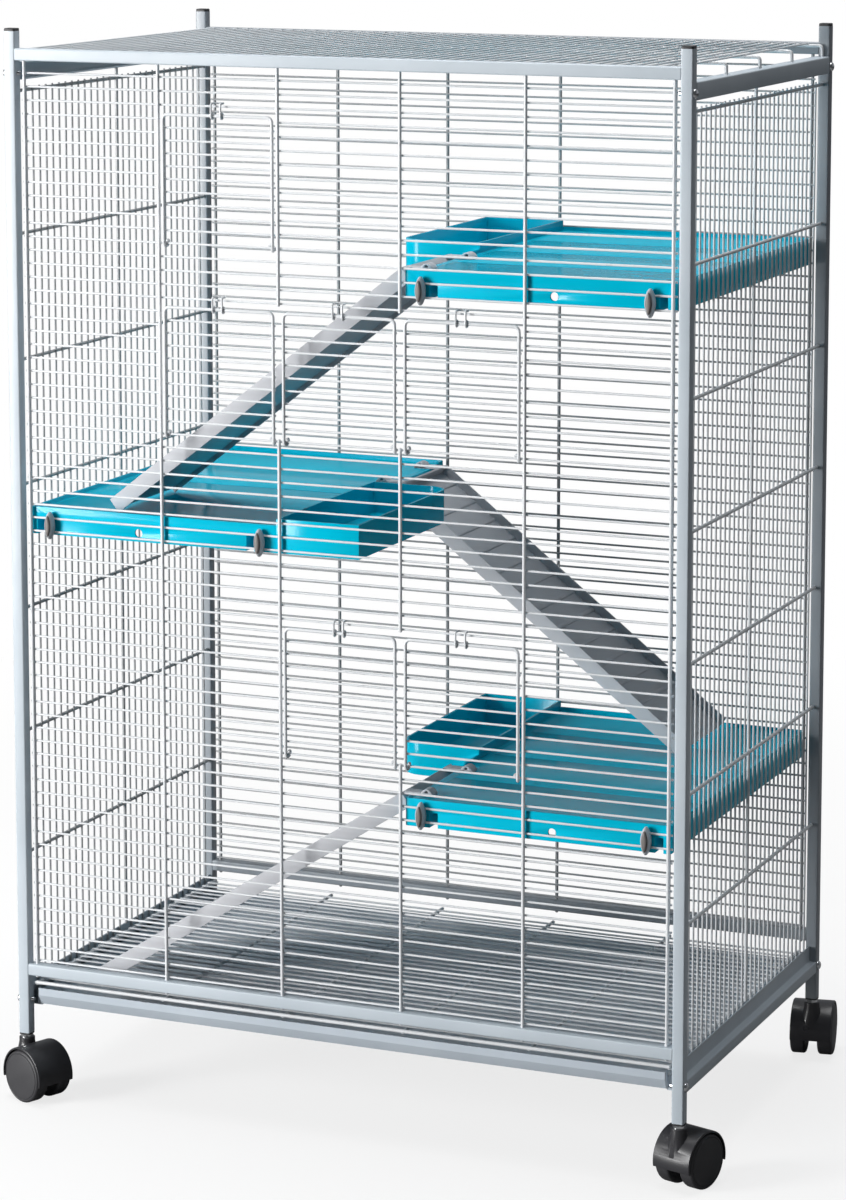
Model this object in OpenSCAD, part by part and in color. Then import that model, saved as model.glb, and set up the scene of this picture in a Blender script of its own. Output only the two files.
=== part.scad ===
// Three-storey wire cage on swivel casters: square tube frame, welded wire panels, hinged wire
// doors with latches, moulded shelves with a tub, hooked ramps, a sliding floor grate and tray.
// Millimetres. Origin on the floor under the middle of the frame, X right, Y back, Z up.

/* [Frame] */
// Width over the posts
frame_w = 762; // [745:1:790]
// Depth over the posts
frame_d = 457.2; // [440:0.1:480]
// Length of a post tube
post_h = 1083; // [1075:1:1150]
// Side of the square tube
post_t = 12.7; // [12.4:0.1:13.5]
// Wall of the square tube
tube_wall = 1.2; // [0.9:0.1:1.5]
// Corner radius of the square tube
tube_r = 1.6; // [1:0.1:2.2]
// Height of a post cap above its tube
cap_h = 3; // [2:0.5:6]
// Drop from the post's top to the front and back top rails
top_rail_drop = 17.8; // [10:0.1:30]
// Height of the bottom rails above the post's lower end
bottom_rail_up = 65.3; // [64:0.1:75]

/* [Side rails] */
// Drop from the post's top to the side top rails
side_rail_drop = 32.5; // [31:0.1:45]
// Height of the side top rail
side_rail_h = 18.5; // [16:0.5:24]
// Thickness of the formed sheet
sheet_t = 1.2; // [1:0.1:1.6]
// Thickness of the bolt tabs
tab_t = 2.5; // [2:0.1:3]
// Height of the runner's lower flange above the post's lower end
runner_up = 30; // [28:0.5:34]
// Width of the runner's lower flange
runner_w = 22; // [20:0.5:26]
// Height of the runner's lower web
runner_low_h = 13; // [11:0.5:15]
// Height of the runner's recessed web
runner_high_h = 17; // [15:0.5:20]
// Depth of the runner's recess
runner_step = 8; // [7:0.1:9]
// Diameter of the frame bolts
bolt_d = 5; // [4:0.5:6]
// Diameter of a bolt's domed head
bolt_head_d = 10; // [9:0.5:12]

/* [Wires] */
// Diameter of the thin wires
wire_d = 2.3; // [1.8:0.1:2.8]
// Diameter of the heavy wires
rod_d = 3.7; // [3.2:0.1:4.2]
// Depth to which crossing wires are welded into each other
weld = 0.3; // [0.2:0.05:0.5]
// Pitch of the level wires of the front and back
level_pitch = 14.3; // [13.6:0.1:15]
// Drop from the front and back top rails to their highest level wire
level_drop = 13; // [8:0.5:16]
// Width of a column between heavy front wires
column_w = 136; // [130:1:140]
// Distance of the outermost heavy front wires from the posts
edge_gap = 7.8; // [6:0.1:10]
// Spaces between side wires
side_spaces = 30; // [26:2:34]
// Pitch of the heavy side wires
side_rod_pitch = 134; // [120:1:140]
// Height of the lowest heavy side wire above the post's lower end
side_rod_low = 199.3; // [150:0.1:220]
// Drop from a side top rail to the highest heavy side wire
side_rod_drop = 12; // [8:0.5:20]
// Pitch of the thin top wires
top_pitch = 14.3; // [12:0.1:18]

/* [Doors] */
// Height from a door's hinge to its top wire
door_h = 133.5; // [128:0.5:135]
// Diameter of a door's frame wire
door_rod = 3.5; // [3:0.1:4]
// Gap between a door and the heavy wires beside it
door_gap = 2.2; // [1.5:0.1:4]
// Outer corner radius of a door's top
door_r = 8; // [5:0.5:14]
// Pitch of the wires in a door
door_pitch = 13.3; // [12:0.1:14]
// Wires in a door
door_wires = 9; // [6:1:9]
// Width of a latch
latch_w = 13; // [10:0.5:18]

/* [Shelves] */
// Length of a shelf along the cage
shelf_l = 291; // [270:1:300]
// Gap between a shelf and the wires around it
shelf_gap = 0.3; // [0.2:0.1:1]
// Height of the shelf's skirt
skirt_h = 29; // [26:0.5:34]
// Wall of the shelf moulding
shelf_wall = 2.5; // [2:0.1:3]
// Depth of the deck below the rim
deck_drop = 4; // [3:0.5:6]
// Length of the tub beyond the deck
tub_l = 80; // [60:1:90]
// Width of the tub
tub_w = 243; // [200:1:250]
// Height of the tub above the skirt
tub_rise = 7; // [4:0.5:12]
// Corner radius of the tub
tub_r = 18; // [10:1:24]
// Gap between a shelf's outer end and the side of the frame
shelf_end = 19; // [16:0.5:22]
// Height of the lowest shelf above the post's lower end
shelf_low = 276; // [262:1:290]
// Rise from shelf to shelf
shelf_rise = 274; // [262:1:280]

/* [Ramps] */
// Width of a ramp
ramp_w = 132; // [110:1:140]
// Length of a ramp from its hooks to its foot
ramp_l = 428; // [415:1:440]
// Height of a ramp's side flanges
ramp_h = 17; // [12:0.5:20]
// Wall of the ramp moulding
ramp_wall = 2.4; // [2:0.1:3]
// Treads on a ramp
ramp_treads = 14; // [8:1:20]
// Distance between a ramp's two hooks
hook_span = 106; // [80:1:112]
// Width of a hook
hook_w = 14; // [10:1:20]
// Height of the hump on a hook
hump_h = 7; // [4:0.5:9]

/* [Knobs] */
// Length of a shelf knob
knob_l = 27; // [22:0.5:30]
// Width of a shelf knob
knob_w = 14; // [12:0.5:18]
// Thickness of a shelf knob
knob_t = 9; // [7:0.5:11]
// Diameter of a knob's shank
shank_d = 4.4; // [4:0.1:5]

/* [Floor] */
// Diameter of the grate's front wire
grate_lip_d = 4; // [3.5:0.1:4.4]
// Gap between the grate and the side of the frame
grate_gap = 16.9; // [16:0.1:18]
// Gap between the tray and the side of the frame
tray_gap = 16.9; // [16:0.1:18]
// Sheet thickness of the tray
tray_t = 1.2; // [1:0.1:1.6]
// Height of the tray's side walls
tray_h = 14; // [10:0.5:18]
// Height of the tray's front lip
tray_lip_h = 18; // [14:0.5:20]
// Clearance of pieces that slide or rest on each other
run_gap = 0.2; // [0.1:0.05:0.3]
// Gap under a ramp's foot
foot_gap = 0.3; // [0.2:0.05:0.5]

/* [Casters] */
// Height from the floor to the posts
caster_h = 70; // [68:1:80]
// Diameter of a caster wheel
wheel_d = 57; // [50:1:58]
// Width of one wheel
wheel_w = 16.5; // [13:0.5:17.5]
// Width of the web between the wheels
web_w = 12; // [10:0.5:13]
// Side clearance of a wheel
wheel_gap = 0.9; // [0.6:0.1:1.5]
// Thickness of the hood's rims
rim_t = 2; // [1.5:0.1:3]
// Gap between a wheel's tread and its hood
hood_gap = 1.5; // [0.8:0.1:2]
// Trail of the wheels behind the swivel
trail = 18; // [16:0.5:24]
// Diameter of the swivel pin
pin_d = 7; // [6:0.1:7.4]
// Running clearance of pins and axles
fit = 0.05; // [0.02:0.01:0.1]
// Turn of each caster from +X: front left, front right, back left, back right
caster_turn = [-23, 73, 106, 100];

/* [Hidden] */

steel = [0.79, 0.83, 0.87];
chrome = [0.88, 0.89, 0.9];
teal = [0.0, 0.71, 0.85];
lilac = [0.72, 0.73, 0.78];
taupe = [0.45, 0.43, 0.42];
black = [0.15, 0.15, 0.16];

// Wires are six-sided prisms; flat is the ratio of their flat height to their diameter.
wire_sides = 6;
flat = cos(180 / wire_sides);
half_turn = 180 / wire_sides;
cross = flat * (rod_d + wire_d) / 2 - weld;
eps = 0.5;

fx = frame_w / 2;
fy = frame_d / 2;
post_x = fx - post_t / 2;
post_y = fy - post_t / 2;
post_top = caster_h + post_h;

// Heights of the rails
top_rail_z = post_top - top_rail_drop - post_t;
bottom_rail_z = caster_h + bottom_rail_up;
side_rail_z = post_top - side_rail_drop - side_rail_h;
runner_z = caster_h + runner_up;
ledge_z = runner_z + runner_low_h + runner_high_h / 2 + sheet_t;
runner_top = runner_z + runner_low_h + runner_high_h;
bolt_top_z = side_rail_z + side_rail_h / 2 - 2;
bolt_low_z = runner_z + runner_low_h / 2 + 1;
tab_l = 24;
bolt_l = post_t + tab_t + 1;

// Front and back panels
level_top = top_rail_z - level_drop;
levels = floor((level_top - bottom_rail_z - post_t - wire_d) / level_pitch) + 1;
edge_x = fx - post_t - edge_gap;
rod_xs = [-edge_x, -1.5 * column_w, -column_w / 2, column_w / 2, 1.5 * column_w, edge_x];
panel_y = post_y;
level_y = panel_y - cross;
panel_in = fy - level_y + flat * wire_d / 2;
stub = 2.8;

// Side and top panels
side_thin_u = runner_step + sheet_t + run_gap + flat * wire_d / 2;
side_rod_u = side_thin_u - cross;
side_pitch = (frame_d - 2 * post_t) / side_spaces;
side_rod_top = side_rail_z - side_rod_drop;
side_rods = floor((side_rod_top - caster_h - side_rod_low) / side_rod_pitch - 0.1) + 1;
side_rod_zs = concat([for (i = [0:side_rods - 1]) caster_h + side_rod_low + i * side_rod_pitch],
                     [side_rod_top]);
hook_in = 4;
top_z = top_rail_z + post_t - flat * wire_d / 2;
top_rod_z = top_z - cross;
top_edge_y = fy - post_t - rod_d / 2 - 1;
top_rod_ys = [for (i = [-2:2]) i * top_edge_y / 2];
top_rod_u = post_t / 2 + 1;

// Doors: column and the level wire that is the hinge
door_col = [-1, -1, 0, 1, 0, 1];
door_row = [0, 1, 1, 1, 2, 2];
row_heights = [868, 668, 339];
opening_levels = 10;
door_half = column_w / 2 - rod_d / 2 - door_gap;
coil_gap = 0.15;
coil_r = wire_d / 2 + coil_gap + door_rod / 2;
door_y = level_y + coil_r;
latch_wire = 2.2;
latch_r = door_rod / 2 + coil_gap + latch_wire / 2;

// Shelves
shelf_hand = [1, -1, 1];
shelf_x = fx - shelf_end - shelf_l;
shelf_w = 2 * (fy - panel_in - shelf_gap);
shelf_zs = [for (i = [2:-1:0]) caster_h + shelf_low + i * shelf_rise];
deck_top = skirt_h - deck_drop;
knob_us = [20, shelf_l - 25];
knob_up = 11;
slot_h = 13;
groove = 0.6;

// Ramps
ramp_y = -shelf_w / 2 + 20 + ramp_w / 2;
hook_reach = 20;
hook_t = 3;
hook_out = 12;
hump_hole = 5;
tread_h = 4;
tread_l = 5;
ramp_deck = 5;

// Floor
grate_rod_z = ledge_z + run_gap + flat * rod_d / 2;
grate_z = grate_rod_z + cross;
grate_lip_z = grate_z + flat * (wire_d - grate_lip_d) / 2;
grate_x = fx - grate_gap;
grate_front = -fy + 8;
grate_back = fy - 18;
grate_pitch = 14.3;
grate_rods = [-1, -0.58, -0.19, 0.19, 0.58, 1];
tray_z = runner_z + sheet_t + run_gap;
tray_x = fx - tray_gap;
tray_front = -fy + 6;
tray_back = fy - 20;
lip_out = 6;
lip_flat = 8;

// Casters
wheel_r = wheel_d / 2;
wheel_y = web_w / 2 + wheel_gap + wheel_w / 2;
wheel_edge = 3;
wheel_dome = 1.2;
face_r = wheel_r - wheel_edge;
dome_r = (face_r * face_r + wheel_dome * wheel_dome) / (2 * wheel_dome);
face_out = 0.4;
hood_w = 2 * (wheel_y + wheel_w / 2 - face_out);
hood_r = wheel_r + hood_gap + rim_t;
hood_edge = 0.6 * rim_t;
hood_low = 23;
axle_d = 6;
hub_d = 18;
collar_d = 13.5;
collar_h = 3;
plug_flange = 1.8;
plug_h = runner_up - 3;
boss_d = 17;
boss_flare = 5;
boss_top = caster_h - plug_flange - collar_h - run_gap;
boss_l = 29;
boss_neck = 5;
pin_low = boss_top - 15;

// Height of level wire k, counted from the top
function level_z(k) = level_top - level_pitch * k;
// Level wire nearest to a height above the post's lower end
function level_at(h) = round((level_top - caster_h - h) / level_pitch);
// Height of a shelf knob: the middle of the space between level wires nearest to its slot
function knob_z(i) =
    level_z(round((level_top - shelf_zs[i] - knob_up) / level_pitch - 0.5) + 0.5);
function hinge_z(i) = level_z(level_at(row_heights[door_row[i]]));
function column_x(i) = door_col[i] * column_w;

module rod_x(l, d, turn = 0) {
    rotate([0, 90, 0]) rotate([0, 0, turn]) cylinder(d = d, h = l, center = true, $fn = wire_sides);
}

module rod_y(l, d, turn = 0) {
    rotate([90, 0, 0]) rotate([0, 0, turn]) cylinder(d = d, h = l, center = true, $fn = wire_sides);
}

module rod_z(z0, z1, d, turn = 0) {
    translate([0, 0, z0]) rotate([0, 0, turn]) cylinder(d = d, h = z1 - z0, $fn = wire_sides);
}

module rod_hole(h) {
    cylinder(d = rod_d + 2 * run_gap, h = h, center = true, $fn = 32);
}

module bolt_hole(h) {
    cylinder(d = bolt_d + 2 * fit, h = h, center = true, $fn = 32);
}

module rounded_plate(w, d, h, r) {
    linear_extrude(h) {
        square([w - 2 * r, d], center = true);
        square([w, d - 2 * r], center = true);
        for (x = [-1, 1], y = [-1, 1])
            translate([x * (w / 2 - r), y * (d / 2 - r)]) circle(r, $fn = 48);
    }
}

// ---- Frame ----

module post(sx, sy) {
    color(steel) difference() {
        translate([sx * post_x, sy * post_y, caster_h])
            rounded_plate(post_t, post_t, post_h, tube_r);
        translate([sx * post_x, sy * post_y, caster_h - 1])
            linear_extrude(post_h + 2) square(post_t - 2 * tube_wall, center = true);
        for (z = [bolt_top_z, bolt_low_z]) translate([sx * post_x, sy * post_y, z])
            rotate([0, 90, 0]) bolt_hole(2 * post_t);
        for (z = side_rod_zs) translate([sx * (fx - side_rod_u), sy * (fy - post_t), z])
            rotate([90, 0, 0]) rod_hole(3 * tube_wall);
    }
}

module post_caps() {
    inner = post_t - 2 * tube_wall - 2 * fit;
    color(black) for (x = [-1, 1], y = [-1, 1]) translate([x * post_x, y * post_y, post_top]) {
        rounded_plate(post_t, post_t, cap_h, 2);
        translate([0, 0, -10]) linear_extrude(10 + eps) square(inner, center = true);
    }
}

module post_plugs() {
    inner = post_t - 2 * tube_wall - 2 * fit;
    color(black) for (x = [-1, 1], y = [-1, 1]) translate([x * post_x, y * post_y, caster_h])
        difference() {
            union() {
                translate([0, 0, -plug_flange]) rounded_plate(post_t, post_t, plug_flange, 2);
                translate([0, 0, -eps]) linear_extrude(plug_h + eps) square(inner, center = true);
            }
            translate([0, 0, -plug_flange - 1])
                cylinder(d = pin_d + 2 * fit, h = plug_h + plug_flange - 1, $fn = 48);
        }
}

// Square tube along X; pierce lists the heights of the walls that the heavy wires pass
module cross_rail(sy, z, pierce) {
    color(steel) translate([0, sy * post_y, z]) difference() {
        translate([-fx + post_t, 0, post_t / 2]) rotate([0, 90, 0])
            rounded_plate(post_t, post_t, frame_w - 2 * post_t, tube_r);
        translate([-fx, -post_t / 2 + tube_wall, tube_wall])
            cube([frame_w, post_t - 2 * tube_wall, post_t - 2 * tube_wall]);
        for (x = rod_xs, p = pierce) translate([x, 0, p]) rod_hole(3 * tube_wall);
    }
}

// Tab that lies on a post's inner face, from inside the rail to past the bolt
module bolt_tab(y, h) {
    translate([post_t, y * (fy - post_t) - tab_l / 2 + y * run_gap, 0]) cube([tab_t, tab_l, h]);
}

// Channel between the posts, open inwards, with a bolt tab behind each post
module side_top_rail(sx) {
    depth = post_t + tab_t;
    length = frame_d - 2 * post_t;
    color(steel) translate([sx * fx, 0, side_rail_z]) mirror([sx > 0 ? 1 : 0, 0, 0]) difference() {
        union() {
            translate([0, -length / 2, 0]) cube([sheet_t, length, side_rail_h]);
            for (z = [0, side_rail_h - sheet_t])
                translate([0, -length / 2, z]) cube([depth, length, sheet_t]);
            for (y = [-1, 1]) bolt_tab(y, side_rail_h);
        }
        for (y = [-1, 1]) translate([depth, y * post_y, bolt_top_z - side_rail_z])
            rotate([0, 90, 0]) bolt_hole(4 * tab_t);
        for (y = top_rod_ys) translate([top_rod_u, y, side_rail_h]) rod_hole(3 * sheet_t);
    }
}

// Formed runner: lower flange for the tray, recessed web, ledge for the grate
module side_bottom_rail(sx) {
    length = frame_d - 2 * post_t;
    high_z = runner_low_h;
    color(steel) translate([sx * fx, 0, runner_z]) mirror([sx > 0 ? 1 : 0, 0, 0]) difference() {
        union() {
            rotate([90, 0, 0]) linear_extrude(length, center = true) {
                square([runner_w, sheet_t]);
                square([sheet_t, runner_low_h]);
                translate([0, high_z - sheet_t]) square([runner_step + sheet_t, sheet_t]);
                translate([runner_step, high_z - sheet_t])
                    square([sheet_t, runner_high_h + sheet_t]);
                translate([runner_step, ledge_z - runner_z - sheet_t])
                    square([runner_w - 2 - runner_step, sheet_t]);
            }
            for (y = [-1, 1]) bolt_tab(y, runner_low_h + 5);
        }
        for (y = [-1, 1]) translate([post_t, y * post_y, bolt_low_z - runner_z])
            rotate([0, 90, 0]) bolt_hole(4 * tab_t);
    }
}

module frame_bolts() {
    dome = bolt_head_d / 2;
    color(chrome) for (x = [-1, 1], y = [-1, 1], z = [bolt_top_z, bolt_low_z])
        translate([x * fx, y * post_y, z]) rotate([0, x * 90, 0]) {
            rotate_extrude($fn = 48) intersection() {
                translate([0, -dome * 0.35]) circle(dome * 1.06, $fn = 64);
                square([dome, dome]);
            }
            translate([0, 0, -bolt_l]) cylinder(d = bolt_d, h = bolt_l + eps, $fn = 32);
        }
}

// ---- Wire panels ----

// Welded panel of level wires and heavy upright wires; the doors' openings are cut first
module level_panel(sy, openings) {
    rod_low = bottom_rail_z - stub;
    rod_high = top_rail_z + tube_wall + 3;
    color(steel) {
        difference() {
            for (k = [0:levels - 1]) translate([0, sy * level_y, level_z(k)])
                rod_x(2 * edge_x + rod_d + 4, wire_d);
            for (i = openings) translate([column_x(i) - column_w / 2, sy * level_y, hinge_z(i)])
                translate([0, -rod_d, level_pitch / 2])
                    cube([column_w, 2 * rod_d, (opening_levels - 1) * level_pitch]);
        }
        for (x = rod_xs) translate([x, sy * panel_y, 0]) rod_z(rod_low, rod_high, rod_d);
    }
}

// Upright thin wires on heavy cross wires whose ends hook into the posts
module side_panel(sx) {
    rod_l = frame_d - 2 * (post_t - hook_in);
    color(steel) translate([sx * fx, 0, 0]) mirror([sx > 0 ? 1 : 0, 0, 0]) {
        for (z = side_rod_zs) translate([side_rod_u, 0, z]) rod_y(rod_l, rod_d, half_turn);
        for (i = [1:side_spaces - 1]) if (i != side_spaces / 2)
            translate([side_thin_u, -fy + post_t + i * side_pitch, 0])
                rod_z(ledge_z + run_gap, side_rod_top + rod_d, wire_d, half_turn);
        translate([side_rod_u + flat * rod_d - weld, 0, 0])
            rod_z(runner_top + run_gap, side_rail_z - run_gap, rod_d, half_turn);
    }
}

module top_panel() {
    count = floor((fx - post_t - 10) / top_pitch);
    rod_l = frame_w - 2 * top_rod_u;
    color(steel) {
        for (i = [-count:count]) translate([i * top_pitch, 0, top_z])
            rod_y(frame_d - 2 * post_t - 2, wire_d);
        for (y = top_rod_ys) translate([0, y, top_rod_z]) {
            rod_x(rod_l + eps, rod_d, half_turn);
            for (x = [-1, 1]) translate([x * rod_l / 2, 0, 0])
                rod_z(side_rail_z + side_rail_h - 3 - top_rod_z, 0, rod_d);
        }
    }
}

// ---- Doors ----

// Point in a door's own frame: hinge axis along X at the origin, frame wire in front of it
module door(i) {
    mid = door_half - door_rod / 2;
    bend = door_r - door_rod / 2;
    color(steel) translate([column_x(i), -door_y, hinge_z(i)]) {
        for (x = [-1, 1]) translate([x * mid, 0, 0]) {
            cylinder(d = door_rod, h = door_h - bend, $fn = 24);
            translate([0, coil_r, 0]) rotate([0, 90, 0]) rotate([0, 0, 40])
                rotate_extrude(angle = 320, $fn = 32) translate([coil_r, 0]) circle(d = door_rod, $fn = 16);
            translate([-x * bend, 0, door_h - bend]) rotate([90, 0, 0]) rotate([0, 0, x > 0 ? 0 : 90])
                rotate_extrude(angle = 90, $fn = 32) translate([bend, 0]) circle(d = door_rod, $fn = 24);
        }
        translate([0, 0, door_h]) rotate([0, 90, 0])
            cylinder(d = door_rod, h = 2 * (mid - bend), center = true, $fn = 24);
        for (k = [1:door_wires]) translate([0, (door_rod + wire_d) / 2 - weld, k * door_pitch])
            rod_x(2 * mid + door_rod, wire_d);
    }
}

// Straight piece of eight-sided wire between two points of one plane across X
module clip_wire(x, p, q) {
    run = q - p;
    translate([x, p[0], p[1]]) rotate([atan2(-run[0], run[1]), 0, 0]) translate([0, 0, -latch_wire / 4])
        cylinder(d = latch_wire, h = norm(run) + latch_wire / 2, $fn = 8);
}

// Wire clip on the door's top wire that reaches over the level wire above the opening
module latch(i) {
    over = opening_levels * level_pitch - door_h + wire_d / 2 + latch_wire / 2 + 1.1;
    back = coil_r + wire_d / 2 + latch_wire / 2 + 0.4;
    half = latch_w / 2 - latch_wire / 2;
    path = [[-latch_r, 0], [-latch_r, over - 3], [-latch_r + 3, over], [back, over]];
    color(steel) translate([column_x(i), -door_y, hinge_z(i) + door_h]) {
        for (x = [-half, half]) {
            translate([x, 0, 0]) rotate([0, 90, 0]) difference() {
                cylinder(r = latch_r + latch_wire / 2, h = latch_wire * 0.8, center = true, $fn = 32);
                cylinder(r = latch_r - latch_wire / 2, h = 2 * latch_wire, center = true, $fn = 32);
            }
            for (k = [0:2]) clip_wire(x, path[k], path[k + 1]);
        }
        translate([0, back, over]) rotate([0, 90, 0])
            cylinder(d = latch_wire, h = latch_w, center = true, $fn = 8);
    }
}

// ---- Shelves ----

module wall_cuts() {
    for (u = knob_us, y = [-1, 1]) translate([u, y * shelf_w / 2, 0]) {
        translate([-shank_d / 2 - 0.4, -2 * shelf_wall, knob_up - slot_h / 2])
            cube([shank_d + 0.8, 4 * shelf_wall, slot_h]);
        translate([knob_w / 2 + 1, -2 * shelf_wall, -1]) cube([9, 4 * shelf_wall, 19]);
    }
    for (y = [-1, 1]) translate([shelf_l * 0.56, y * shelf_w / 2, 9]) rotate([90, 0, 0])
        cylinder(d = 9, h = 4 * shelf_wall, center = true, $fn = 32);
}

// Deck edge at x = 0, tub towards -X against the back wall, ramp edge in front
module shelf_body() {
    tub_y = shelf_w / 2 - tub_w / 2;
    tub_h = skirt_h + tub_rise;
    difference() {
        union() {
            translate([shelf_l / 2, 0, 0]) rounded_plate(shelf_l, shelf_w, skirt_h, 4);
            translate([-tub_l / 2 + shelf_wall / 2, tub_y, 0]) tub_block(0, tub_h);
        }
        translate([shelf_l / 2, 0, deck_top])
            rounded_plate(shelf_l - 2 * shelf_wall, shelf_w - 2 * shelf_wall, skirt_h, 2);
        translate([shelf_l / 2, 0, -1])
            rounded_plate(shelf_l - 2 * shelf_wall, shelf_w - 2 * shelf_wall, deck_top - shelf_wall + 1, 2);
        translate([-tub_l / 2 + shelf_wall / 2, tub_y, shelf_wall]) tub_block(shelf_wall, tub_h);
        translate([-1, ramp_y - ramp_w / 2 - 4, deck_top]) cube([shelf_wall + 2, ramp_w + 8, skirt_h]);
        wall_cuts();
        for (k = [1:3]) translate([4 * shelf_wall, -shelf_w / 2 + k * shelf_w / 4, deck_top - groove])
            cube([shelf_l - 8 * shelf_wall, 2, skirt_h]);
    }
}

// Tub block, or its hollow where it is drawn in by its wall; its outer front corner is round
module tub_block(inset, h) {
    w = tub_l + shelf_wall - 2 * inset;
    d = tub_w - 2 * inset;
    r = tub_r - inset;
    linear_extrude(h) {
        translate([-w / 2 + r, -d / 2]) square([w - r, d]);
        translate([-w / 2, -d / 2 + r]) square([w, d - r]);
        translate([-w / 2 + r, -d / 2 + r]) circle(r, $fn = 64);
    }
}

module shelf(i) {
    color(teal) rotate([0, 0, shelf_hand[i] > 0 ? 0 : 180])
        translate([shelf_x, 0, shelf_zs[i]]) shelf_body();
}

// Oval head in front of the wires, shank through the slot, cross bar behind the wall
module knob(i, j) {
    x = shelf_hand[i] * (shelf_x + knob_us[j]);
    head_y = -level_y - flat * wire_d / 2 - run_gap;
    wall_y = -shelf_w / 2 + shelf_wall + run_gap;
    color(taupe) translate([x, 0, knob_z(i)]) {
        translate([0, head_y, 0]) rotate([90, 0, 0]) {
            oval(knob_w, knob_l, knob_t * 0.55);
            oval(knob_w - 3, knob_l - 3, knob_t * 0.8);
            oval(knob_w - 7, knob_l - 7, knob_t);
        }
        translate([0, head_y - eps, 0]) rotate([-90, 0, 0])
            cylinder(d = shank_d, h = wall_y - head_y + eps + 1, $fn = 32);
        translate([0, wall_y, 0]) rotate([-90, 0, 0]) cylinder(d = 11, h = 2.4, $fn = 32);
    }
}

module oval(w, l, h) {
    linear_extrude(h) {
        square([w, l - w], center = true);
        for (y = [-1, 1]) translate([0, y * (l - w) / 2]) circle(d = w, $fn = 48);
    }
}

// ---- Ramps ----

// Ramp in its own frame: top edge at the origin, deck running along +X between side flanges
module ramp_body() {
    inner = ramp_w - 2 * ramp_wall;
    deck_z = ramp_deck + ramp_wall - ramp_h;
    difference() {
        translate([0, -ramp_w / 2, -ramp_h]) cube([ramp_l, ramp_w, ramp_h]);
        translate([ramp_wall, -inner / 2, deck_z]) cube([ramp_l, inner, ramp_h]);
        translate([ramp_wall, -inner / 2, -2 * ramp_h + ramp_deck]) cube([ramp_l, inner, ramp_h]);
    }
    for (k = [0:ramp_treads - 1]) translate([(k + 0.6) * ramp_l / ramp_treads, -inner / 2 - eps, deck_z])
        translate([0, 0, -eps]) cube([tread_l, inner + 2 * eps, tread_h + eps]);
}

// Height that ramp i falls from its hooks to the surface under its foot
function ramp_fall(i) = hook_t + run_gap - foot_gap + shelf_zs[i] + deck_top -
    (i < 2 ? shelf_zs[i + 1] + deck_top : grate_z + flat * wire_d / 2);
function ramp_angle(i) = asin(ramp_fall(i) / norm([ramp_l, ramp_h])) - atan(ramp_h / ramp_l);

module ramp(i) {
    hand = shelf_hand[i];
    top_z = shelf_zs[i] + deck_top + run_gap + hook_t;
    color(lilac) translate([hand * (shelf_x - hook_out), hand * ramp_y, top_z])
        rotate([0, 0, hand > 0 ? 180 : 0]) {
            rotate([0, ramp_angle(i), 0]) ramp_body();
            for (y = [-1, 1]) translate([-hook_reach - hook_out, y * hook_span / 2, -hook_t]) {
                translate([0, -hook_w / 2, 0]) cube([hook_reach + hook_out + ramp_wall / 2, hook_w, hook_t]);
                translate([hump_h, 0, 0]) rotate([90, 0, 0]) linear_extrude(hook_w, center = true) hump();
            }
        }
}

// Half round grip on a ramp's hook, with a hole through it
module hump() {
    difference() {
        intersection() {
            circle(hump_h, $fn = 48);
            translate([-hump_h, 0]) square([2 * hump_h, hump_h]);
        }
        translate([0, hump_h * 0.5 + 0.4]) circle(d = hump_hole * 0.7, $fn = 32);
    }
}

// ---- Floor ----

module floor_grate() {
    length = grate_back - grate_front;
    mid_y = (grate_back + grate_front) / 2;
    count = floor((length - 10) / grate_pitch);
    color(steel) {
        for (k = grate_rods) translate([k * (grate_x - rod_d / 2), mid_y, grate_rod_z])
            rod_y(length, rod_d);
        for (k = [1:count]) translate([0, grate_front + k * grate_pitch, grate_z])
            rod_x(2 * grate_x + 1, wire_d, half_turn);
        translate([0, grate_front, grate_lip_z]) rod_x(2 * grate_x + 1, grate_lip_d, half_turn);
    }
}

module floor_tray() {
    lip_x = fx - post_t - 8;
    lip_top = tray_z + tray_lip_h + 1;
    depth = tray_back - tray_front - lip_out;
    color(steel) {
        translate([-tray_x, tray_front + lip_out, tray_z]) difference() {
            cube([2 * tray_x, depth, tray_h]);
            translate([tray_t, tray_t, tray_t])
                cube([2 * (tray_x - tray_t), depth - 2 * tray_t, tray_h]);
        }
        translate([0, tray_front, 0]) rotate([90, 0, 90]) linear_extrude(2 * lip_x, center = true)
            polygon([[0, lip_top], [0, lip_top - lip_flat], [lip_out, tray_z], [lip_out + tray_t, tray_z],
                     [lip_out + tray_t, tray_z + tray_t], [tray_t, lip_top - lip_flat + tray_t / 3],
                     [tray_t, lip_top]]);
    }
}

// ---- Casters ----

module caster_at(k) {
    sx = k % 2 == 0 ? -1 : 1;
    sy = k < 2 ? -1 : 1;
    translate([sx * post_x, sy * post_y, 0]) rotate([0, 0, caster_turn[k]]) children();
}

module caster_stem(k) {
    color(chrome) caster_at(k) {
        translate([0, 0, pin_low]) cylinder(d = pin_d, h = caster_h + plug_h - 4 - pin_low, $fn = 48);
        translate([0, 0, boss_top]) cylinder(d = collar_d, h = collar_h, $fn = 48);
    }
}

module rounded_disc(r, w, edge) {
    rotate_extrude($fn = 96) {
        translate([0, -w / 2]) square([r - edge, w]);
        translate([0, -w / 2 + edge]) square([r, w - 2 * edge]);
        for (y = [-1, 1]) translate([r - edge, y * (w / 2 - edge)]) circle(edge, $fn = 32);
    }
}

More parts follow.
